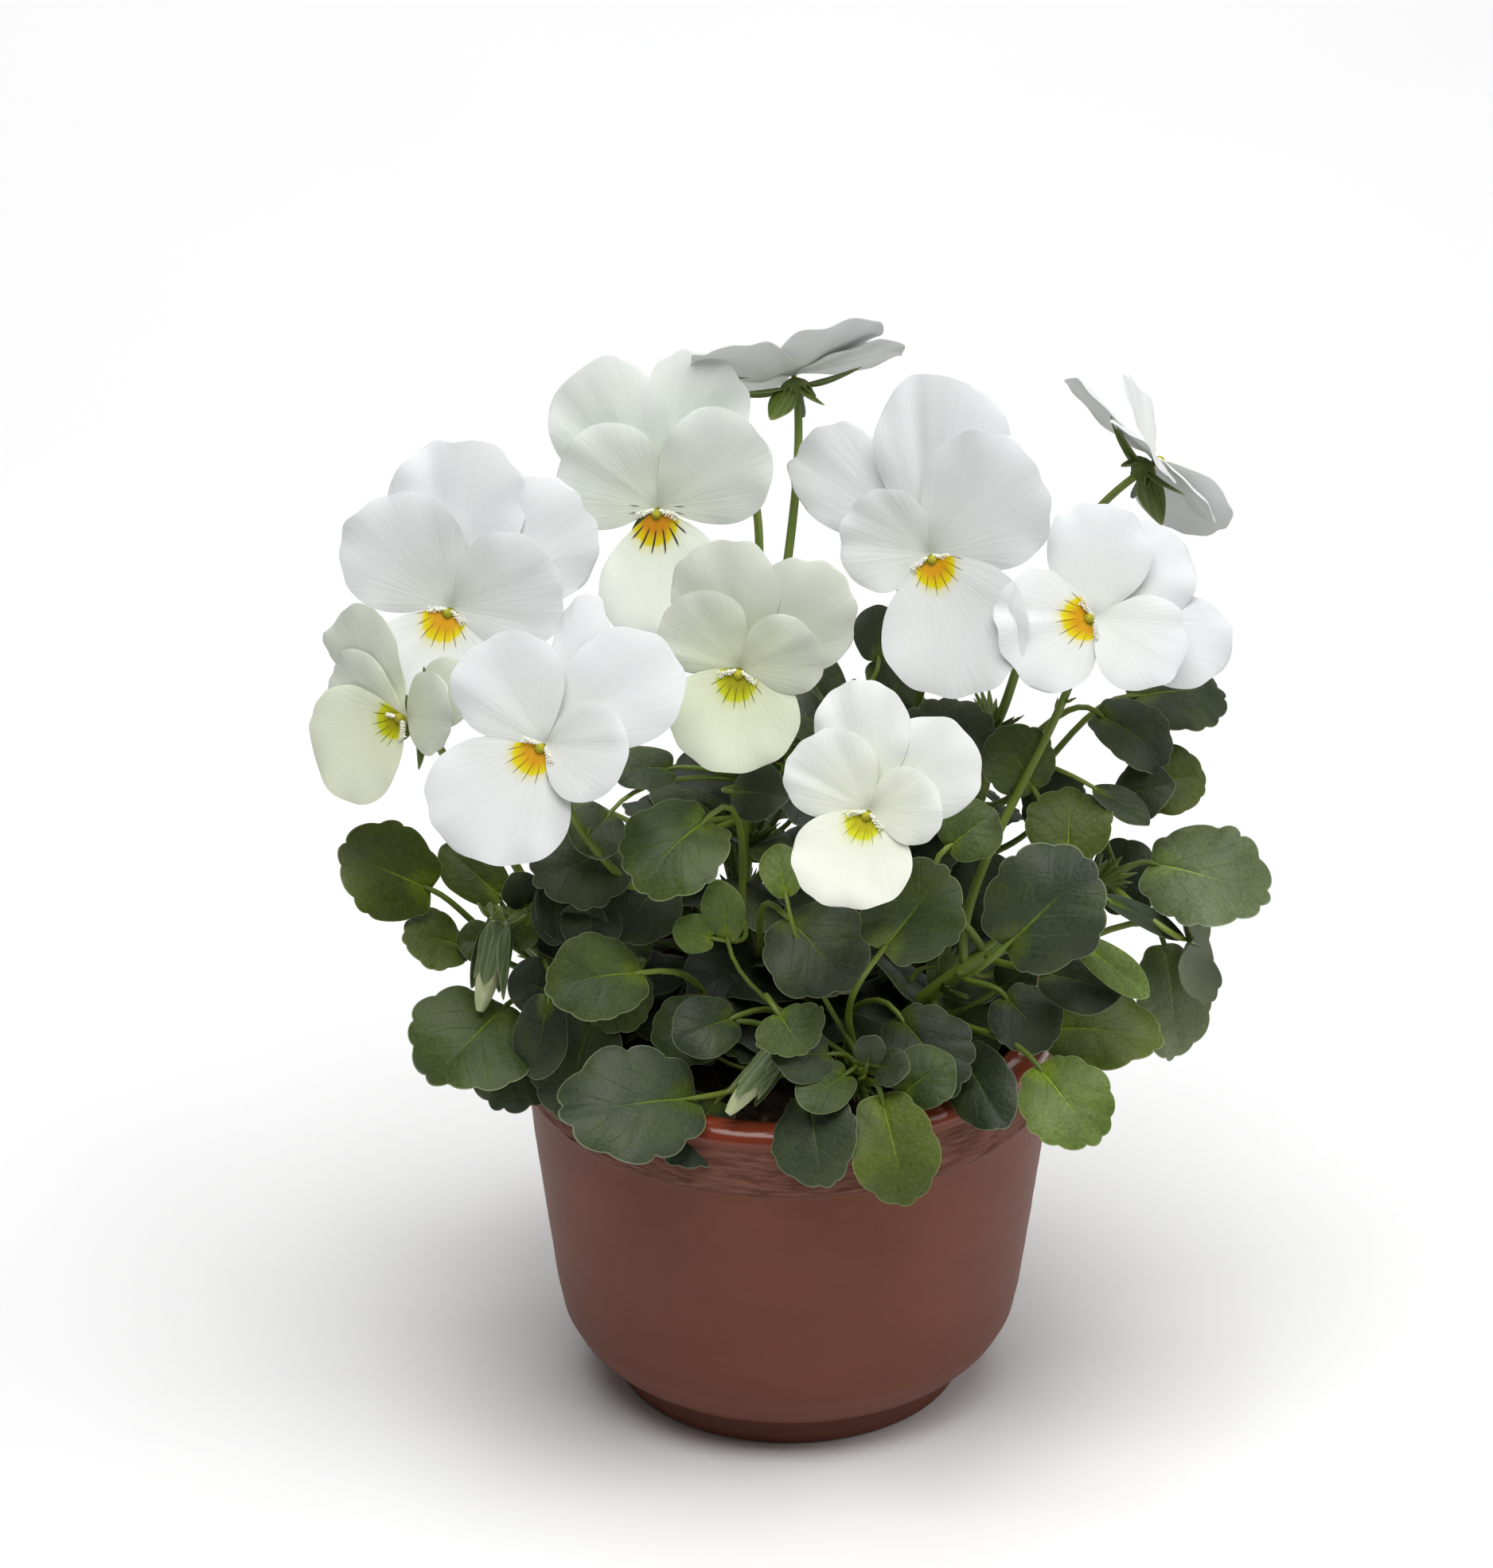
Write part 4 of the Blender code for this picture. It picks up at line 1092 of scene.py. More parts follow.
def add_leaf(skin, seed, carrier, shape, mesh, petiole, slots=(0, 1)):
    """A leaf: its petiole, which runs on as a rib under the blade, and the blade,
    whose height over its plane is arch * 4s(1 - s) + rise * x² / (width / 4), less
    a groove over the midrib, plus puckers between the side veins and rim waves.
    The carrier is the stem and the share along it, and slots are the materials of
    the blade and of the petiole."""
    base, tip, width, facing, arch, rise = shape
    start, outward = start_on_stem(*carrier, base)
    rng = np.random.default_rng(seed)
    base, tip = np.array(base, float), np.array(tip, float)
    length = float(np.linalg.norm(tip - base))
    axis = (tip - base) / length
    normal = across(direction(*facing), axis)
    side = np.cross(axis, normal)
    lobes = rng.integers(4, 6) if width > TINY_LEAF_WIDTH else rng.integers(2, 4)
    heart = rng.uniform(0.05, 0.13)
    outline = leaf_outline(length, width, lobes, heart, rng, mesh[0])
    waves = rng.uniform(0.0, 6.28, 3)
    size = width / LEAF_WIDTH
    swing = rng.uniform(0.6, 1.2) * size
    skew = rng.uniform(-0.35, 0.35) * size

    def height(x, y, r, turn):
        s = np.clip(y / length, 0.0, 1.0)
        form = arch * 4.0 * s * (1.0 - s) + rise * x * x / (0.25 * width)
        groove = 0.5 * np.exp(-(x / 0.8) ** 2) * (1.0 - 0.85 * s)
        q = (y - 0.72 * np.abs(x)) / (0.2 * length)
        pucker = 0.22 * np.abs(np.sin(np.pi * q)) ** 0.7
        pucker = pucker * smooth_step(0.8, 3.5, np.abs(x)) * (1.0 - r ** 5)
        rim = np.sin(6.0 * np.pi * turn + waves[0]) + 0.6 * np.sin(10.0 * np.pi * turn + waves[1])
        droop = 0.9 * r ** 4 * size
        return form - groove + pucker * size + swing * r ** 3 * rim + skew * x * s - droop

    reach = np.linalg.norm(base - start)
    stalk = bezier(start, start + outward * 0.3 * reach, base - axis * 0.35 * reach, base, 12)
    s = np.linspace(0.0, 0.72, 7)[1:]
    none = np.zeros(len(s))
    sunk = height(none, s * length, none, none) - LEAF_THICKNESS - 0.35 * petiole * (1.0 - s)
    rib = base + s[:, None] * length * axis + sunk[:, None] * normal
    radii = petiole * np.concatenate((np.linspace(1.15, 0.8, 12), 0.62 - 0.7 * s))
    add_tube(skin, np.vstack((stalk, rib)), radii, 8, slot=slots[1])
    place = (base, side, axis, normal)
    add_blade(skin, outline, 0.46 * length, mesh[1], place, height, LEAF_THICKNESS,
              (0.5 * width, length), slots[0])


def make_leaf(name, seed, row, replaced=()):
    """One leaf as a piece of its own; the ones of the solid part have finer meshes."""
    stem, share, base, tip, width, *rest, age_and_shade = row
    mesh, petiole = LARGE_LEAF_MESH if replaced else SMALL_LEAF_MESH, PETIOLE_RADIUS
    if width < TINY_LEAF_WIDTH:
        mesh, petiole = TINY_LEAF_MESH, 0.75 * PETIOLE_RADIUS
    skin = Skin()
    add_leaf(skin, seed, (stem, share), (base, tip, width, *rest), mesh, petiole)
    skin.piece(name, ["leaf " + age_and_shade, "juicy_stem"], replaced)


# Rings of leaves that close the plant: height, middle (x, y), reach of the tips
# to the sides and to front and back, number of leaves, blade length, rise of a
# blade from base to tip, and age
LEAF_RINGS = (
    (98, (0, 5), (62, 55), 16, 24, -7, "grown"),
    (108, (2, 8), (58, 53), 14, 24, -1, "old"),
    (119, (5, 10), (52, 48), 12, 22, 2, "old"),
    (130, (8, 12), (46, 42), 10, 21, 3, "grown"),
    (141, (12, 12), (40, 34), 9, 20, 4, "old"),
    (151, (14, 10), (32, 26), 7, 18, 6, "grown"),
    (160, (14, 8), (20, 16), 5, 16, 9, "old"),
)


def ring_leaves(number):
    """The rows of one ring.  Leaves stand at even bearings with a seeded jitter and
    draw in toward the middle at the front, where the large leaves are.  There about
    two in three take the darker "shaded" finish: painted shade behind the large leaves."""
    height, (x, y), (side, depth), count, length, lift, age_and_shade = LEAF_RINGS[number]
    rng = np.random.default_rng(RING_SEED + number)
    rows = []
    for k in range(count):
        a = 360.0 * (k + 0.5 * (number % 2)) / count + rng.uniform(-8.0, 8.0)
        out = direction(a, 0.0)
        front = 1.0 - 0.38 * max(0.0, math.cos(math.radians(a))) ** 1.5
        reach = front * rng.uniform(0.88, 1.05)
        size = length * rng.uniform(0.85, 1.1)
        tip = np.array((x + out[0] * side * reach, y + out[1] * depth * reach, 0.0))
        base = tip - direction(a + rng.uniform(-28.0, 28.0), 0.0) * size
        base[2] = height + rng.uniform(-4.0, 4.0)
        tip[2] = base[2] + lift + rng.uniform(-4.0, 4.0)
        facing = (a + rng.uniform(-22.0, 22.0), rng.uniform(34.0, 58.0))
        tone = age_and_shade if rng.random() < 0.7 else ("old" if age_and_shade == "grown" else "grown")
        # Painted shade: on the front half most leaves get the darker "shaded" finish.
        if front < 1.0 and rng.random() < 0.65:
            tone = "shaded"
        rows.append((tuple(base), tuple(tip), size * rng.uniform(0.88, 1.08), facing, tone))
    return rows


def carried(base, tip, width, facing):
    """The carrier and the shape of a leaf that is given without a stem."""
    return nearest_on_stems(base, tip), (base, tip, width, facing, 0.07 * width, 0.05)


def make_ring(number):
    """One ring of leaves as a piece, with a finish for each age and the darker "shaded" finish that
    paints shade.
    """
    skin = Skin()
    ages_and_shade = ("shaded", "old", "grown")
    for k, (*given, age_and_shade) in enumerate(ring_leaves(number)):
        carrier, shape = carried(*given)
        seed = RING_LEAF_SEED + 20 * number + k
        slots = (ages_and_shade.index(age_and_shade), len(ages_and_shade))
        add_leaf(skin, seed, carrier, shape, RING_LEAF_MESH, RING_PETIOLE_RADIUS, slots)
    looks = ["leaf " + age_and_shade for age_and_shade in ages_and_shade] + ["juicy_stem"]
    skin.piece(f"leaf_ring_{number + 1}", looks)


# Where stipules stand: shares along each stem
STIPULE_PLACES = {
    "stem_left": (0.45, 0.62, 0.80, 0.96),
    "stem_front": (0.45, 0.7, 0.95),
    "stem_right": (0.35, 0.55, 0.75, 0.95),
    "stem_tall": (0.35, 0.55, 0.75, 0.95),
    "stem_middle": (0.3, 0.5, 0.7, 0.9),
    "stem_back": (0.4, 0.65, 0.95),
}


def make_stipules(stem):
    """The divided leafy scales at a stem's nodes: to either side a fan of five to
    seven narrow blades, the middle one longest."""
    skin = Skin()
    path = stem_route(stem, 10)
    rng = np.random.default_rng(len(stem))
    for share in STIPULE_PLACES[stem]:
        point, step, _ = step_at(path, share)
        way = unit(step)
        turn = rng.uniform(0.0, 360.0)
        for half in (0.0, 180.0):
            out = across(direction(turn + half, 10.0), way)
            flat = np.cross(way, out)
            root = point + out * stem_radius(stem, share) * 0.8
            count = int(rng.integers(5, 8))
            for spread in np.radians(np.linspace(-52.0, 52.0, count)):
                along = unit(out * math.cos(spread) + flat * math.sin(spread) + way * 0.9)
                length = 9.0 * math.cos(spread) * rng.uniform(0.85, 1.15) + 1.0
                add_sepal(skin, root, along, way, length, 2.0, 0.8, mesh=STIPULE_MESH)
    skin.piece(f"stipules_{stem[5:]}", ["striped_sepal"])


# ---- flowers


def flower_axes(facing):
    """Right, up and forward of a flower, as seen from its front."""
    forward = direction(*facing)
    up = across(UP, forward)
    return np.cross(up, forward), up, forward


def clock_ways(axes, clock):
    """The way from a flower's middle to a clock angle, and to one 90° later."""
    right, up, _ = axes
    a = np.radians(clock)
    return right * np.sin(a) + up * np.cos(a), right * np.cos(a) - up * np.sin(a)


def petal_outline(length, before, after, rng):
    """A petal's rim: at a share u of its spread to either side the reach is
    length * cos(90° * u)^PETAL_FULLNESS, with slow waves; evenly stepped."""
    u = np.linspace(1.0, -1.0, 481)
    waves = sum(rng.uniform(-0.012, 0.012) * np.cos(k * np.pi * u + rng.uniform(0.0, 6.28))
                for k in (2, 3, 5, 8))
    reach = length * np.cos(0.5 * np.pi * u) ** PETAL_FULLNESS * (1.0 + waves * (1.0 - u ** 4))
    a = np.radians(np.where(u > 0.0, after, before)) * u
    return even_outline(np.stack((reach * np.sin(a), reach * np.cos(a)), axis=1), PETAL_MESH[0])


# Soft folds given one by one: (flower, petal) to the angle from the petal's middle and
# the width, both in degrees, and the depth
FOLDS = {
    ("01", 0): ((-14, 7, 1.6), (12, 9, -1.2)),
    ("02", 1): ((-6, 5, 1.6), (8, 6, -1.0)),
    ("04", 0): ((-8, 5, 1.8), (9, 8, -1.0)),
    ("06", 4): ((12, 6, 0.8),),
    ("10", 0): ((-10, 8, 1.0), (14, 8, 1.0)),
}


def make_petal(number, index):
    """A petal: its plane is turned to its clock angle, and at a distance d from the
    throat its height is d * tan(tilt) + x * tan(turn) + curl * (d / length)², x being
    the distance across, plus radial folds that grow with d, a ruffle at the rim, and
    a dip where it enters the throat.  Side_a carries mirrored marks, so that both
    side petals have their lines on the lip's side."""
    _, _, throat, facing, tone, petals = FLOWERS[number]
    clock, length, before, after, tilt, curl = petals[index]
    rng = np.random.default_rng(PETAL_SEED * int(number) + index)
    axes = flower_axes(facing)
    along, side = clock_ways(axes, clock)
    outline = petal_outline(length, before, after, rng)
    folds = [*FOLDS.get((number, index), ())]
    for _ in range(3):
        at = rng.uniform(-0.7, 0.7) * before
        folds.append((at, rng.uniform(6, 11), rng.uniform(-0.8, 0.8)))
    phase = rng.uniform(0.0, 6.28, 3)
    ruffle = rng.uniform(0.35, 0.7) * length / 30.0
    slope = math.tan(math.radians(tilt))
    turned = math.tan(math.radians(PETAL_TURN.get((number, index), 0.0)))

    def height(x, y, r, turn):
        d = np.hypot(x, y)
        theta = np.degrees(np.arctan2(x, np.maximum(y, 1e-6)))
        share = d / length
        lift = PETAL_LIFT[index] * smooth_step(1.0, 8.0, d)
        form = slope * d + turned * x + curl * share ** 2 + lift
        for at, wide, deep in folds:
            form = form - deep * np.exp(-((theta - at) / wide) ** 2) * share ** 1.3
        rim = np.sin(8.0 * np.pi * turn + phase[0]) + 0.7 * np.sin(14.0 * np.pi * turn + phase[1])
        dip = 0.6 * np.exp(-(d / 2.2) ** 2)
        return form + ruffle * r ** 4 * share * rim - dip - 0.9 * r ** 5 * share

    skin = Skin()
    place = (np.array(throat, float), side, along, axes[2])
    units = (-1.0 if index == 2 else 1.0, 1.0)
    add_blade(skin, outline, 0.52 * length, PETAL_MESH[1], place, height, PETAL_THICKNESS, units)
    role = PETAL_ROLES[index]
    look = f"petal {tone} {role.split('_')[0]}"
    corolla = ["corolla_" + number]
    skin.piece(f"petal_{number}_{role}", [look], corolla, sharp=70.0)


def make_throat(number):
    """The eye of a flower: a round green style head, and the beard, two tufts of
    small tapering hairs that lean over it from the side petals."""
    _, _, throat, facing, _, petals = FLOWERS[number]
    axes = flower_axes(facing)
    forward = axes[2]
    throat = np.array(throat, float)
    rng = np.random.default_rng(THROAT_SEED + int(number))
    skin = Skin()
    lip = petals[4][0]
    down, _ = clock_ways(axes, lip)
    head = throat + forward * 0.9 + down * 1.7
    neck = head - forward * 2.5 - down * 0.5
    t = np.linspace(0.0, 1.0, 9)[:, None]
    swell = np.array((0.5, 0.5, 0.6, 0.75, 1.0, 1.2, 1.15, 0.9, 0.4))
    add_tube(skin, neck + (head + forward * 0.6 - neck) * t, swell, 10)
    hair = turned_skin([(0.07, 0.0), (0.09, 0.5), (0.075, 0.85), (0.03, 1.0)], 5)
    count = BEARD_HAIRS
    for index, hand in ((2, -1.0), (3, 1.0)):
        clock, tilt = petals[index][0], petals[index][4]
        to_lip = (hand * (lip - clock)) % 360.0
        d = np.linspace(0.8, 5.0, count)[:, None]
        bearing = clock + hand * rng.uniform(0.36, 0.5, (count, 1)) * to_lip
        outward, inward = clock_ways(axes, bearing)
        roots = throat + outward * d + forward * (d * math.tan(math.radians(tilt)) + 0.3)
        drawn = rng.normal(size=(count, 3)) * 0.18
        lean = unit(hand * inward * 0.9 + forward * 0.8 + drawn)
        one = across(np.broadcast_to(forward, lean.shape), lean)
        size = rng.uniform(0.6, 1.0, count)[:, None]
        frames = np.stack((one, np.cross(lean, one), lean * size), axis=1)
        add_copies(skin, *hair, roots, frames, slot=1)
    skin.piece(f"throat_{number}", ["style_green", "beard"], sharp=180.0)


def add_sepal(skin, root, along, face, length, width, bend, slot=0, mesh=SEPAL_MESH, point=0.7):
    """One sepal: a lance-shaped blade with the half width 0.5 * width *
    sin(pi * s^0.7)^point * (1 - 0.25 s) at a share s of its length, and the height
    bend * s² + 0.9 x² / width, less a shallow groove along its middle."""
    normal = across(face, along)
    side = np.cross(along, normal)
    _, hand, s = rim_steps(mesh[0])
    half = 0.5 * width * np.maximum(np.sin(np.pi * s ** 0.7), 0.0) ** point * (1.0 - 0.25 * s)
    outline = np.stack((hand * half, length * s), axis=1)

    def height(x, y, r, turn):
        s = y / length
        return bend * s * s + 0.9 * x * x / width - 0.25 * np.exp(-(x / 0.5) ** 2)

    place = (root, side, along, normal)
    add_blade(skin, outline, 0.42 * length, mesh[1], place, height, SEPAL_THICKNESS,
              (0.5 * width, length), slot)


def add_lobe(skin, root, along, face, length, width, bend, slot=0):
    """The short round lobe at the back of a sepal."""
    add_sepal(skin, root, along, face, length, width, bend, slot, LOBE_MESH, point=0.45)


# The sepals where they can be seen from behind: clock angle, length, width, how
# far each leans back from the petals and how far it is rolled about its midrib
SEPALS = {
    "03": ((88, 15, 4.5, 3, 0), (58, 13, 6.5, 44, -50), (284, 14, 3.6, -2, 0),
           (195, 11, 4.0, 0, 0), (320, 8, 3.6, 60, 0)),
    "05": ((8, 14, 4.0, -2, 10), (60, 8, 4.0, 0, 0), (130, 9, 4.0, 0, 0),
           (226, 12.5, 7.5, 34, 70), (262, 13, 4.0, 2, 20)),
}
PLAIN_SEPALS = tuple((clock, 10.5, 4.0, -4, 0) for clock in range(0, 360, 72))

# How far the upper part of a flower stalk is drawn aside (x, y, z)
STALK_SWAY = {"02": (39, 10, 55), "05": (-16, 0, 8)}


def make_stalk(number):
    """A flower stalk that hooks over behind its flower, with two small bracts."""
    stem, share, throat, facing = FLOWERS[number][:4]
    forward = direction(*facing)
    throat = np.array(throat, float)
    neck = throat - forward * STALK_DEPTH
    start, outward = start_on_stem(stem, share, throat)
    rise = UP * float(np.linalg.norm(neck - start))
    hook = neck - forward * 9.0 - rise * 0.3 + np.array(STALK_SWAY.get(number, (0, 0, 0)), float)
    path = bezier(start, start + outward * 7.0 + rise * 0.2, hook, neck, 34)
    radii = STALK_RADIUS * np.linspace(1.12, 0.87, len(path))
    skin = Skin()
    add_tube(skin, path, radii, 10, ribs=0.08)
    rng = np.random.default_rng(STALK_SEED + int(number))
    for at in (24, 25):
        way = unit(path[at + 1] - path[at])
        out = across(rng.normal(size=3), way)
        root = path[at] + out * 0.6
        add_sepal(skin, root, unit(way + out * 0.8), out, 3.6, 1.1, 0.3, mesh=BRACT_MESH)
    solid = ["flower_stalk_" + number]
    skin.piece(f"stalk_{number}", ["juicy_stem"], solid)


def make_calyx(number):
    """A calyx: five sepals behind the petals, each with a short lobe that points
    back, round a small cup, and the spur that leaves the lip's base."""
    _, _, throat, facing, _, petals = FLOWERS[number]
    axes = flower_axes(facing)
    forward = axes[2]
    seat = np.array(throat, float) - forward * CALYX_DEPTH
    skin = Skin()
    t = np.linspace(0.0, 1.0, 8)[:, None]
    cup = seat - forward * 3.2 + forward * (5.2 * t)
    wide = CALYX_RADIUS * (1.25 if number in SEPALS else 1.0)
    swell = np.array((0.3, 0.42, 0.62, 0.8, 0.9, 0.86, 0.66, 0.3))
    add_tube(skin, cup, wide * swell, 14, ribs=0.05)
    for clock, length, width, lean, roll in SEPALS.get(number, PLAIN_SEPALS):
        b, c = math.radians(lean), math.radians(roll)
        out, _ = clock_ways(axes, clock)
        root = seat + out * 1.7
        along = out * math.cos(b) - forward * math.sin(b)
        back = -forward * math.cos(b) - out * math.sin(b)
        face = back * math.cos(c) + np.cross(along, back) * math.sin(c)
        add_sepal(skin, root, along, face, length, width, -0.9)
        add_lobe(skin, root + forward * 0.3, unit(out * 0.5 - forward), out, 4.2, 3.6, 0.8)
    down, _ = clock_ways(axes, petals[4][0])
    points = [seat + down * low - forward * back
              for low, back in ((1.0, 0.0), (2.4, 2.0), (2.6, 4.5), (3.4, 6.5))]
    swell = np.array((1.1, 1.15, 1.1, 1.05, 1.0, 0.95, 0.8, 0.4))
    add_tube(skin, bezier(*points, len(swell)), swell, 10, slot=1)
    skin.piece(f"calyx_{number}", ["striped_sepal", "spur"])


# Each bud: the stem that carries it and where along it, the points that its stalk
# and body follow, and how thick the body is
BUDS = {
    "bud_left": ("stem_left", 0.98, ((-66, -19, 128), (-65, -28, 129), (-69.5, -35, 110.5)), 5.0),
    "bud_front": ("stem_front", 0.30, ((-1, -40, 104), (-2, -50, 109), (-14, -58, 97)), 4.4),
}


def make_bud(name, seed):
    """A nodding bud: a thin stalk, a rolled pale body and five striped sepals that
    wrap its upper part, each with a round lobe that stands up about the stalk."""
    stem, share, points, body = BUDS[name]
    start, _ = start_on_stem(stem, share, points[0])
    path = smooth_curve((start, *points), 40)
    skin = Skin()
    add_tube(skin, path[:26], np.linspace(1.0, 0.9, 26), 10, ribs=0.08)
    inner = path[25:]
    swell = np.sin(np.linspace(0.3, 0.97, len(inner)) ** 1.6 * np.pi) ** 0.6
    add_tube(skin, inner, 0.5 * body * swell, 14, ribs=0.12, slot=1)
    length = float(np.linalg.norm(inner[-1] - inner[0]))
    along = (inner[-1] - inner[0]) / length
    one = across(np.array((1.0, 0.0, 0.2)), along)
    two = np.cross(along, one)
    rng = np.random.default_rng(seed)
    for a in round_angles(5) + 0.5 * np.pi:
        out = one * math.cos(a) + two * math.sin(a)
        root = inner[0] + out * 0.5 * body
        way = unit(along + out * rng.uniform(0.12, 0.30))
        long = length * rng.uniform(0.66, 0.84)
        add_sepal(skin, root, way, -out, long, 1.55 * body, 1.5, slot=2)
        add_lobe(skin, root, unit(out * 0.9 - along), out, 4.4, 3.4, 0.9, slot=3)
    looks = ("juicy_stem", "bud_petal", "bud_sepal", "striped_sepal")
    skin.piece(name + "_opening", looks, [name])


# ---- stage

FLOOR_RADIUS = 6.0
FLOOR_SIDES = 64
# Each lamp: its place, the point it looks at, its size and its share of the key
# light's power; the last one only brightens the floor behind the plant
LAMPS = {
    "key_light": ((0.0, -0.42, 1.88), (0.0, 0.0, 0.13), 1.5, 1.0),
    "side_light": ((1.2, -0.15, 0.75), (0.0, 0.0, 0.13), 0.9, 0.13),
    "floor_light": ((-0.1, 1.2, 0.9), (-0.1, 1.15, 0.0), 1.0, 0.13),
}
CAMERA_PIVOT = (-0.0098, 0.045)  # x and height of the point that the camera turns about
CAMERA_TILT = 63.18  # from looking straight down
CAMERA_LENS = 198.6  # mm
CAMERA_RANGE = 50.0


def make_floor():
    """A wide round floor: a polygon with its corners on a circle."""
    a = round_angles(FLOOR_SIDES)
    ring = FLOOR_RADIUS * np.stack((np.cos(a), np.sin(a), np.zeros(FLOOR_SIDES)), axis=1)
    mesh = bpy.data.meshes.new("studio_floor")
    mesh.from_pydata(ring.tolist(), [], [tuple(range(FLOOR_SIDES))])
    mesh.materials.append(get_look("studio_floor"))
    floor = linked("studio_floor", mesh)


def make_surround(strength):
    """An even white light from all round."""
    world = bpy.data.worlds.new("white_surround")
    bpy.context.scene.world = world
    world.use_nodes = True
    background = world.node_tree.nodes["Background"]
    background.inputs["Color"].default_value = (1.0, 1.0, 1.0, 1.0)
    background.inputs["Strength"].default_value = strength


def make_lamp(name, location, aim, size, power):
    """A square lamp that looks at the point given as aim."""
    lamp = bpy.data.lights.new(name, "AREA")
    lamp.size = size
    lamp.energy = power
    made = linked(name, lamp)
    made.location = location
    x, y, z = np.subtract(aim, location)
    made.rotation_euler = (math.acos(-z / math.hypot(x, y, z)), 0.0, math.atan2(-x, y))


def make_camera(distance, elevation):
    """The camera, at a distance and an elevation (radians) from its pivot."""
    made = linked("camera", bpy.data.cameras.new("camera"))
    x, height = CAMERA_PIVOT
    made.location = (
        x, -distance * math.cos(elevation), height + distance * math.sin(elevation))
    made.rotation_euler = (math.radians(CAMERA_TILT), 0.0, 0.0)
    made.data.lens = CAMERA_LENS
    made.data.clip_end = CAMERA_RANGE
    bpy.context.scene.camera = made


# ---- settings


class PotSettings(bpy.types.PropertyGroup):
    """Pot and soil."""

    clay_colour: bpy.props.FloatVectorProperty(
        name="Clay", description="Colour of the unglazed clay", subtype="COLOR",
        size=3, default=(0.162, 0.048, 0.025), min=0.0, max=1.0)
    glaze_colour: bpy.props.FloatVectorProperty(
        name="Glaze", description="Colour of the glazed rim", subtype="COLOR",
        size=3, default=(0.130, 0.022, 0.008), min=0.0, max=1.0)
    crumbs: bpy.props.IntProperty(
        name="Crumbs", description="Number of bark crumbs on the soil",
        default=320, min=0, max=2000)


class LeafSettings(bpy.types.PropertyGroup):
    """Leaves."""

    grain_scale: bpy.props.FloatProperty(
        name="Grain", description="Fineness of the skin's grain",
        default=1150.0, min=100.0, max=6000.0)
    margin_strength: bpy.props.FloatProperty(
        name="Pale margin", description="Strength of the pale margin", subtype="FACTOR",
        default=0.8, min=0.0, max=1.0)


class FlowerSettings(bpy.types.PropertyGroup):
    """Flowers."""

    translucency: bpy.props.FloatProperty(
        name="Translucency", description="How much light passes through a petal", subtype="FACTOR",
        default=0.2, min=0.0, max=1.0)
    line_strength: bpy.props.FloatProperty(
        name="Eye lines", description="Strength of the dark lines round the eye", subtype="FACTOR",
        default=1.0, min=0.0, max=1.0)


class StageSettings(bpy.types.PropertyGroup):
    """Floor, light and camera."""

    key_power: bpy.props.FloatProperty(
        name="Key light", description="Power of the large overhead light", unit="POWER",
        default=37.5, min=0.0, max=500.0)
    surround: bpy.props.FloatProperty(
        name="Surround", description="Brightness of the white surroundings",
        default=0.12, min=0.0, max=4.0)
    camera_distance: bpy.props.FloatProperty(
        name="Camera distance", description="From the camera to the middle of the pot",
        unit="LENGTH", default=2.0, min=0.3, max=10.0)
    camera_height_angle: bpy.props.FloatProperty(
        name="Camera elevation", description="How far the camera stands above the pot",
        subtype="ANGLE", default=math.radians(29.5), min=0.0, max=math.radians(89.0))


# ---- operators


class PANSY_OT_pot(bpy.types.Operator):
    """Makes the clay pot."""

    bl_idname = "pansy.pot"
    bl_label = "Pot"

    def execute(self, context):
        make_pot()
        return {"FINISHED"}


class PANSY_OT_soil(bpy.types.Operator):
    """Makes the soil and its crumbs."""

    bl_idname = "pansy.soil"
    bl_label = "Soil"

    def execute(self, context):
        make_soil()
        make_crumbs()
        return {"FINISHED"}


class PANSY_OT_stems(bpy.types.Operator):
    """Makes the stems."""

    bl_idname = "pansy.stems"
    bl_label = "Stems"

    def execute(self, context):
        for name in STEMS:
            make_stem(name)
        return {"FINISHED"}


class PANSY_OT_leaves(bpy.types.Operator):
    """Makes the large leaves."""

    bl_idname = "pansy.leaves"
    bl_label = "Large leaves"

    def execute(self, context):
        for number, row in LEAVES.items():
            make_leaf("leaf_blade_" + number, int(number), row, ["leaf_" + number])
        return {"FINISHED"}


class PANSY_OT_small_leaves(bpy.types.Operator):
    """Makes the small leaves, the rings of leaves inside the plant and the stipules."""

    bl_idname = "pansy.small_leaves"
    bl_label = "Small leaves"

    def execute(self, context):
        for k, (*given, age_and_shade) in enumerate(SMALL_LEAVES):
            carrier, shape = carried(*given)
            row = (*carrier, *shape, age_and_shade)
            make_leaf(f"leaf_small_{k + 1:02d}", SMALL_LEAF_SEED + k, row)
        for number in range(len(LEAF_RINGS)):
            make_ring(number)
        for stem in STIPULE_PLACES:
            make_stipules(stem)
        return {"FINISHED"}


class PANSY_OT_stalks(bpy.types.Operator):
    """Makes the flower stalks and the calyxes."""

    bl_idname = "pansy.stalks"
    bl_label = "Stalks and calyxes"

    def execute(self, context):
        for number in FLOWERS:
            make_stalk(number)
            make_calyx(number)
        return {"FINISHED"}


class PANSY_OT_petals(bpy.types.Operator):
    """Makes the petals and throats."""

    bl_idname = "pansy.petals"
    bl_label = "Petals"

    def execute(self, context):
        for number in FLOWERS:
            for index in range(len(PETAL_ROLES)):
                make_petal(number, index)
            make_throat(number)
        return {"FINISHED"}


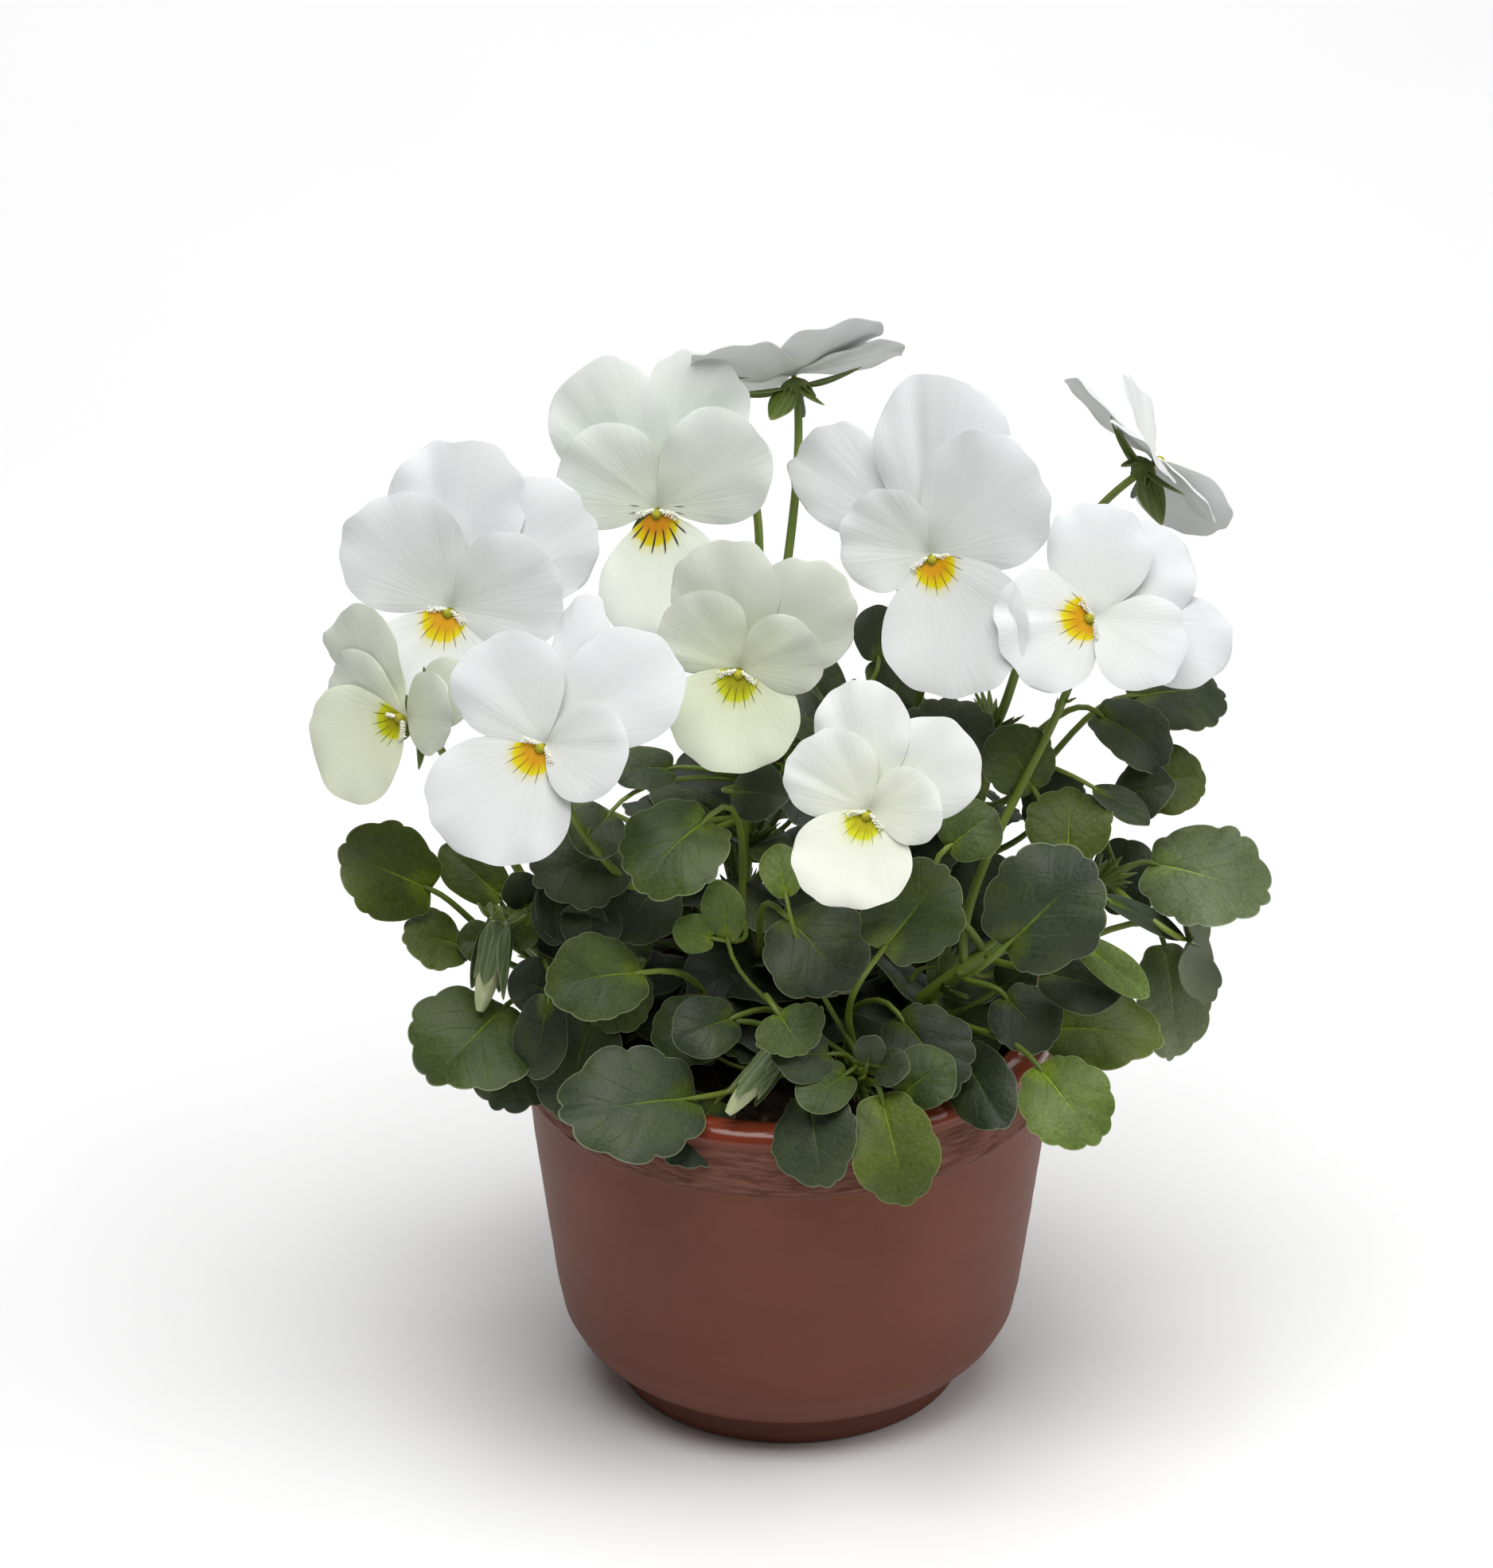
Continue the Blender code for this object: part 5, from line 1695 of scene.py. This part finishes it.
class PANSY_OT_buds(bpy.types.Operator):
    """Makes the buds."""

    bl_idname = "pansy.buds"
    bl_label = "Buds"

    def execute(self, context):
        for seed, name in enumerate(BUDS):
            make_bud(name, seed)
        return {"FINISHED"}


class PANSY_OT_stage(bpy.types.Operator):
    """Makes the floor, the soft light and the camera."""

    bl_idname = "pansy.stage"
    bl_label = "Stage"

    def execute(self, context):
        options = context.scene.pansy_stage
        make_floor()
        make_surround(options.surround)
        for name, (location, aim, size, share) in LAMPS.items():
            make_lamp(name, location, aim, size, share * options.key_power)
        make_camera(options.camera_distance, options.camera_height_angle)
        context.scene.view_settings.view_transform = "Standard"
        return {"FINISHED"}


class PANSY_PT_panel(bpy.types.Panel):
    """Shows the settings and a button for each step that makes pieces."""

    bl_label = "Pansy"
    bl_idname = "PANSY_PT_panel"
    bl_space_type = "VIEW_3D"
    bl_region_type = "UI"
    bl_category = "Pansy"

    def draw(self, context):
        for group in SETTINGS:
            settings = getattr(context.scene, group)
            for name in settings.__annotations__:
                self.layout.prop(settings, name)
        for operator in OPERATORS:
            self.layout.operator(operator.bl_idname)


SETTINGS = {
    "pansy_pot": PotSettings,
    "pansy_leaves": LeafSettings,
    "pansy_flowers": FlowerSettings,
    "pansy_stage": StageSettings,
}
OPERATORS = (
    PANSY_OT_stage, PANSY_OT_pot, PANSY_OT_soil, PANSY_OT_stems, PANSY_OT_leaves,
    PANSY_OT_small_leaves, PANSY_OT_stalks, PANSY_OT_petals, PANSY_OT_buds,
)


def register():
    """Registers the classes and puts the settings on the scene."""
    for kind in (*SETTINGS.values(), *OPERATORS, PANSY_PT_panel):
        bpy.utils.register_class(kind)
    for name, kind in SETTINGS.items():
        setattr(bpy.types.Scene, name, bpy.props.PointerProperty(type=kind))


def unregister():
    """Takes the settings and the classes away again."""
    for name in SETTINGS:
        delattr(bpy.types.Scene, name)
    for kind in reversed((*SETTINGS.values(), *OPERATORS, PANSY_PT_panel)):
        bpy.utils.unregister_class(kind)


def main():
    register()
    for operator in OPERATORS:
        group, name = operator.bl_idname.split(".")
        getattr(getattr(bpy.ops, group), name)()


if __name__ == "__main__":
    main()
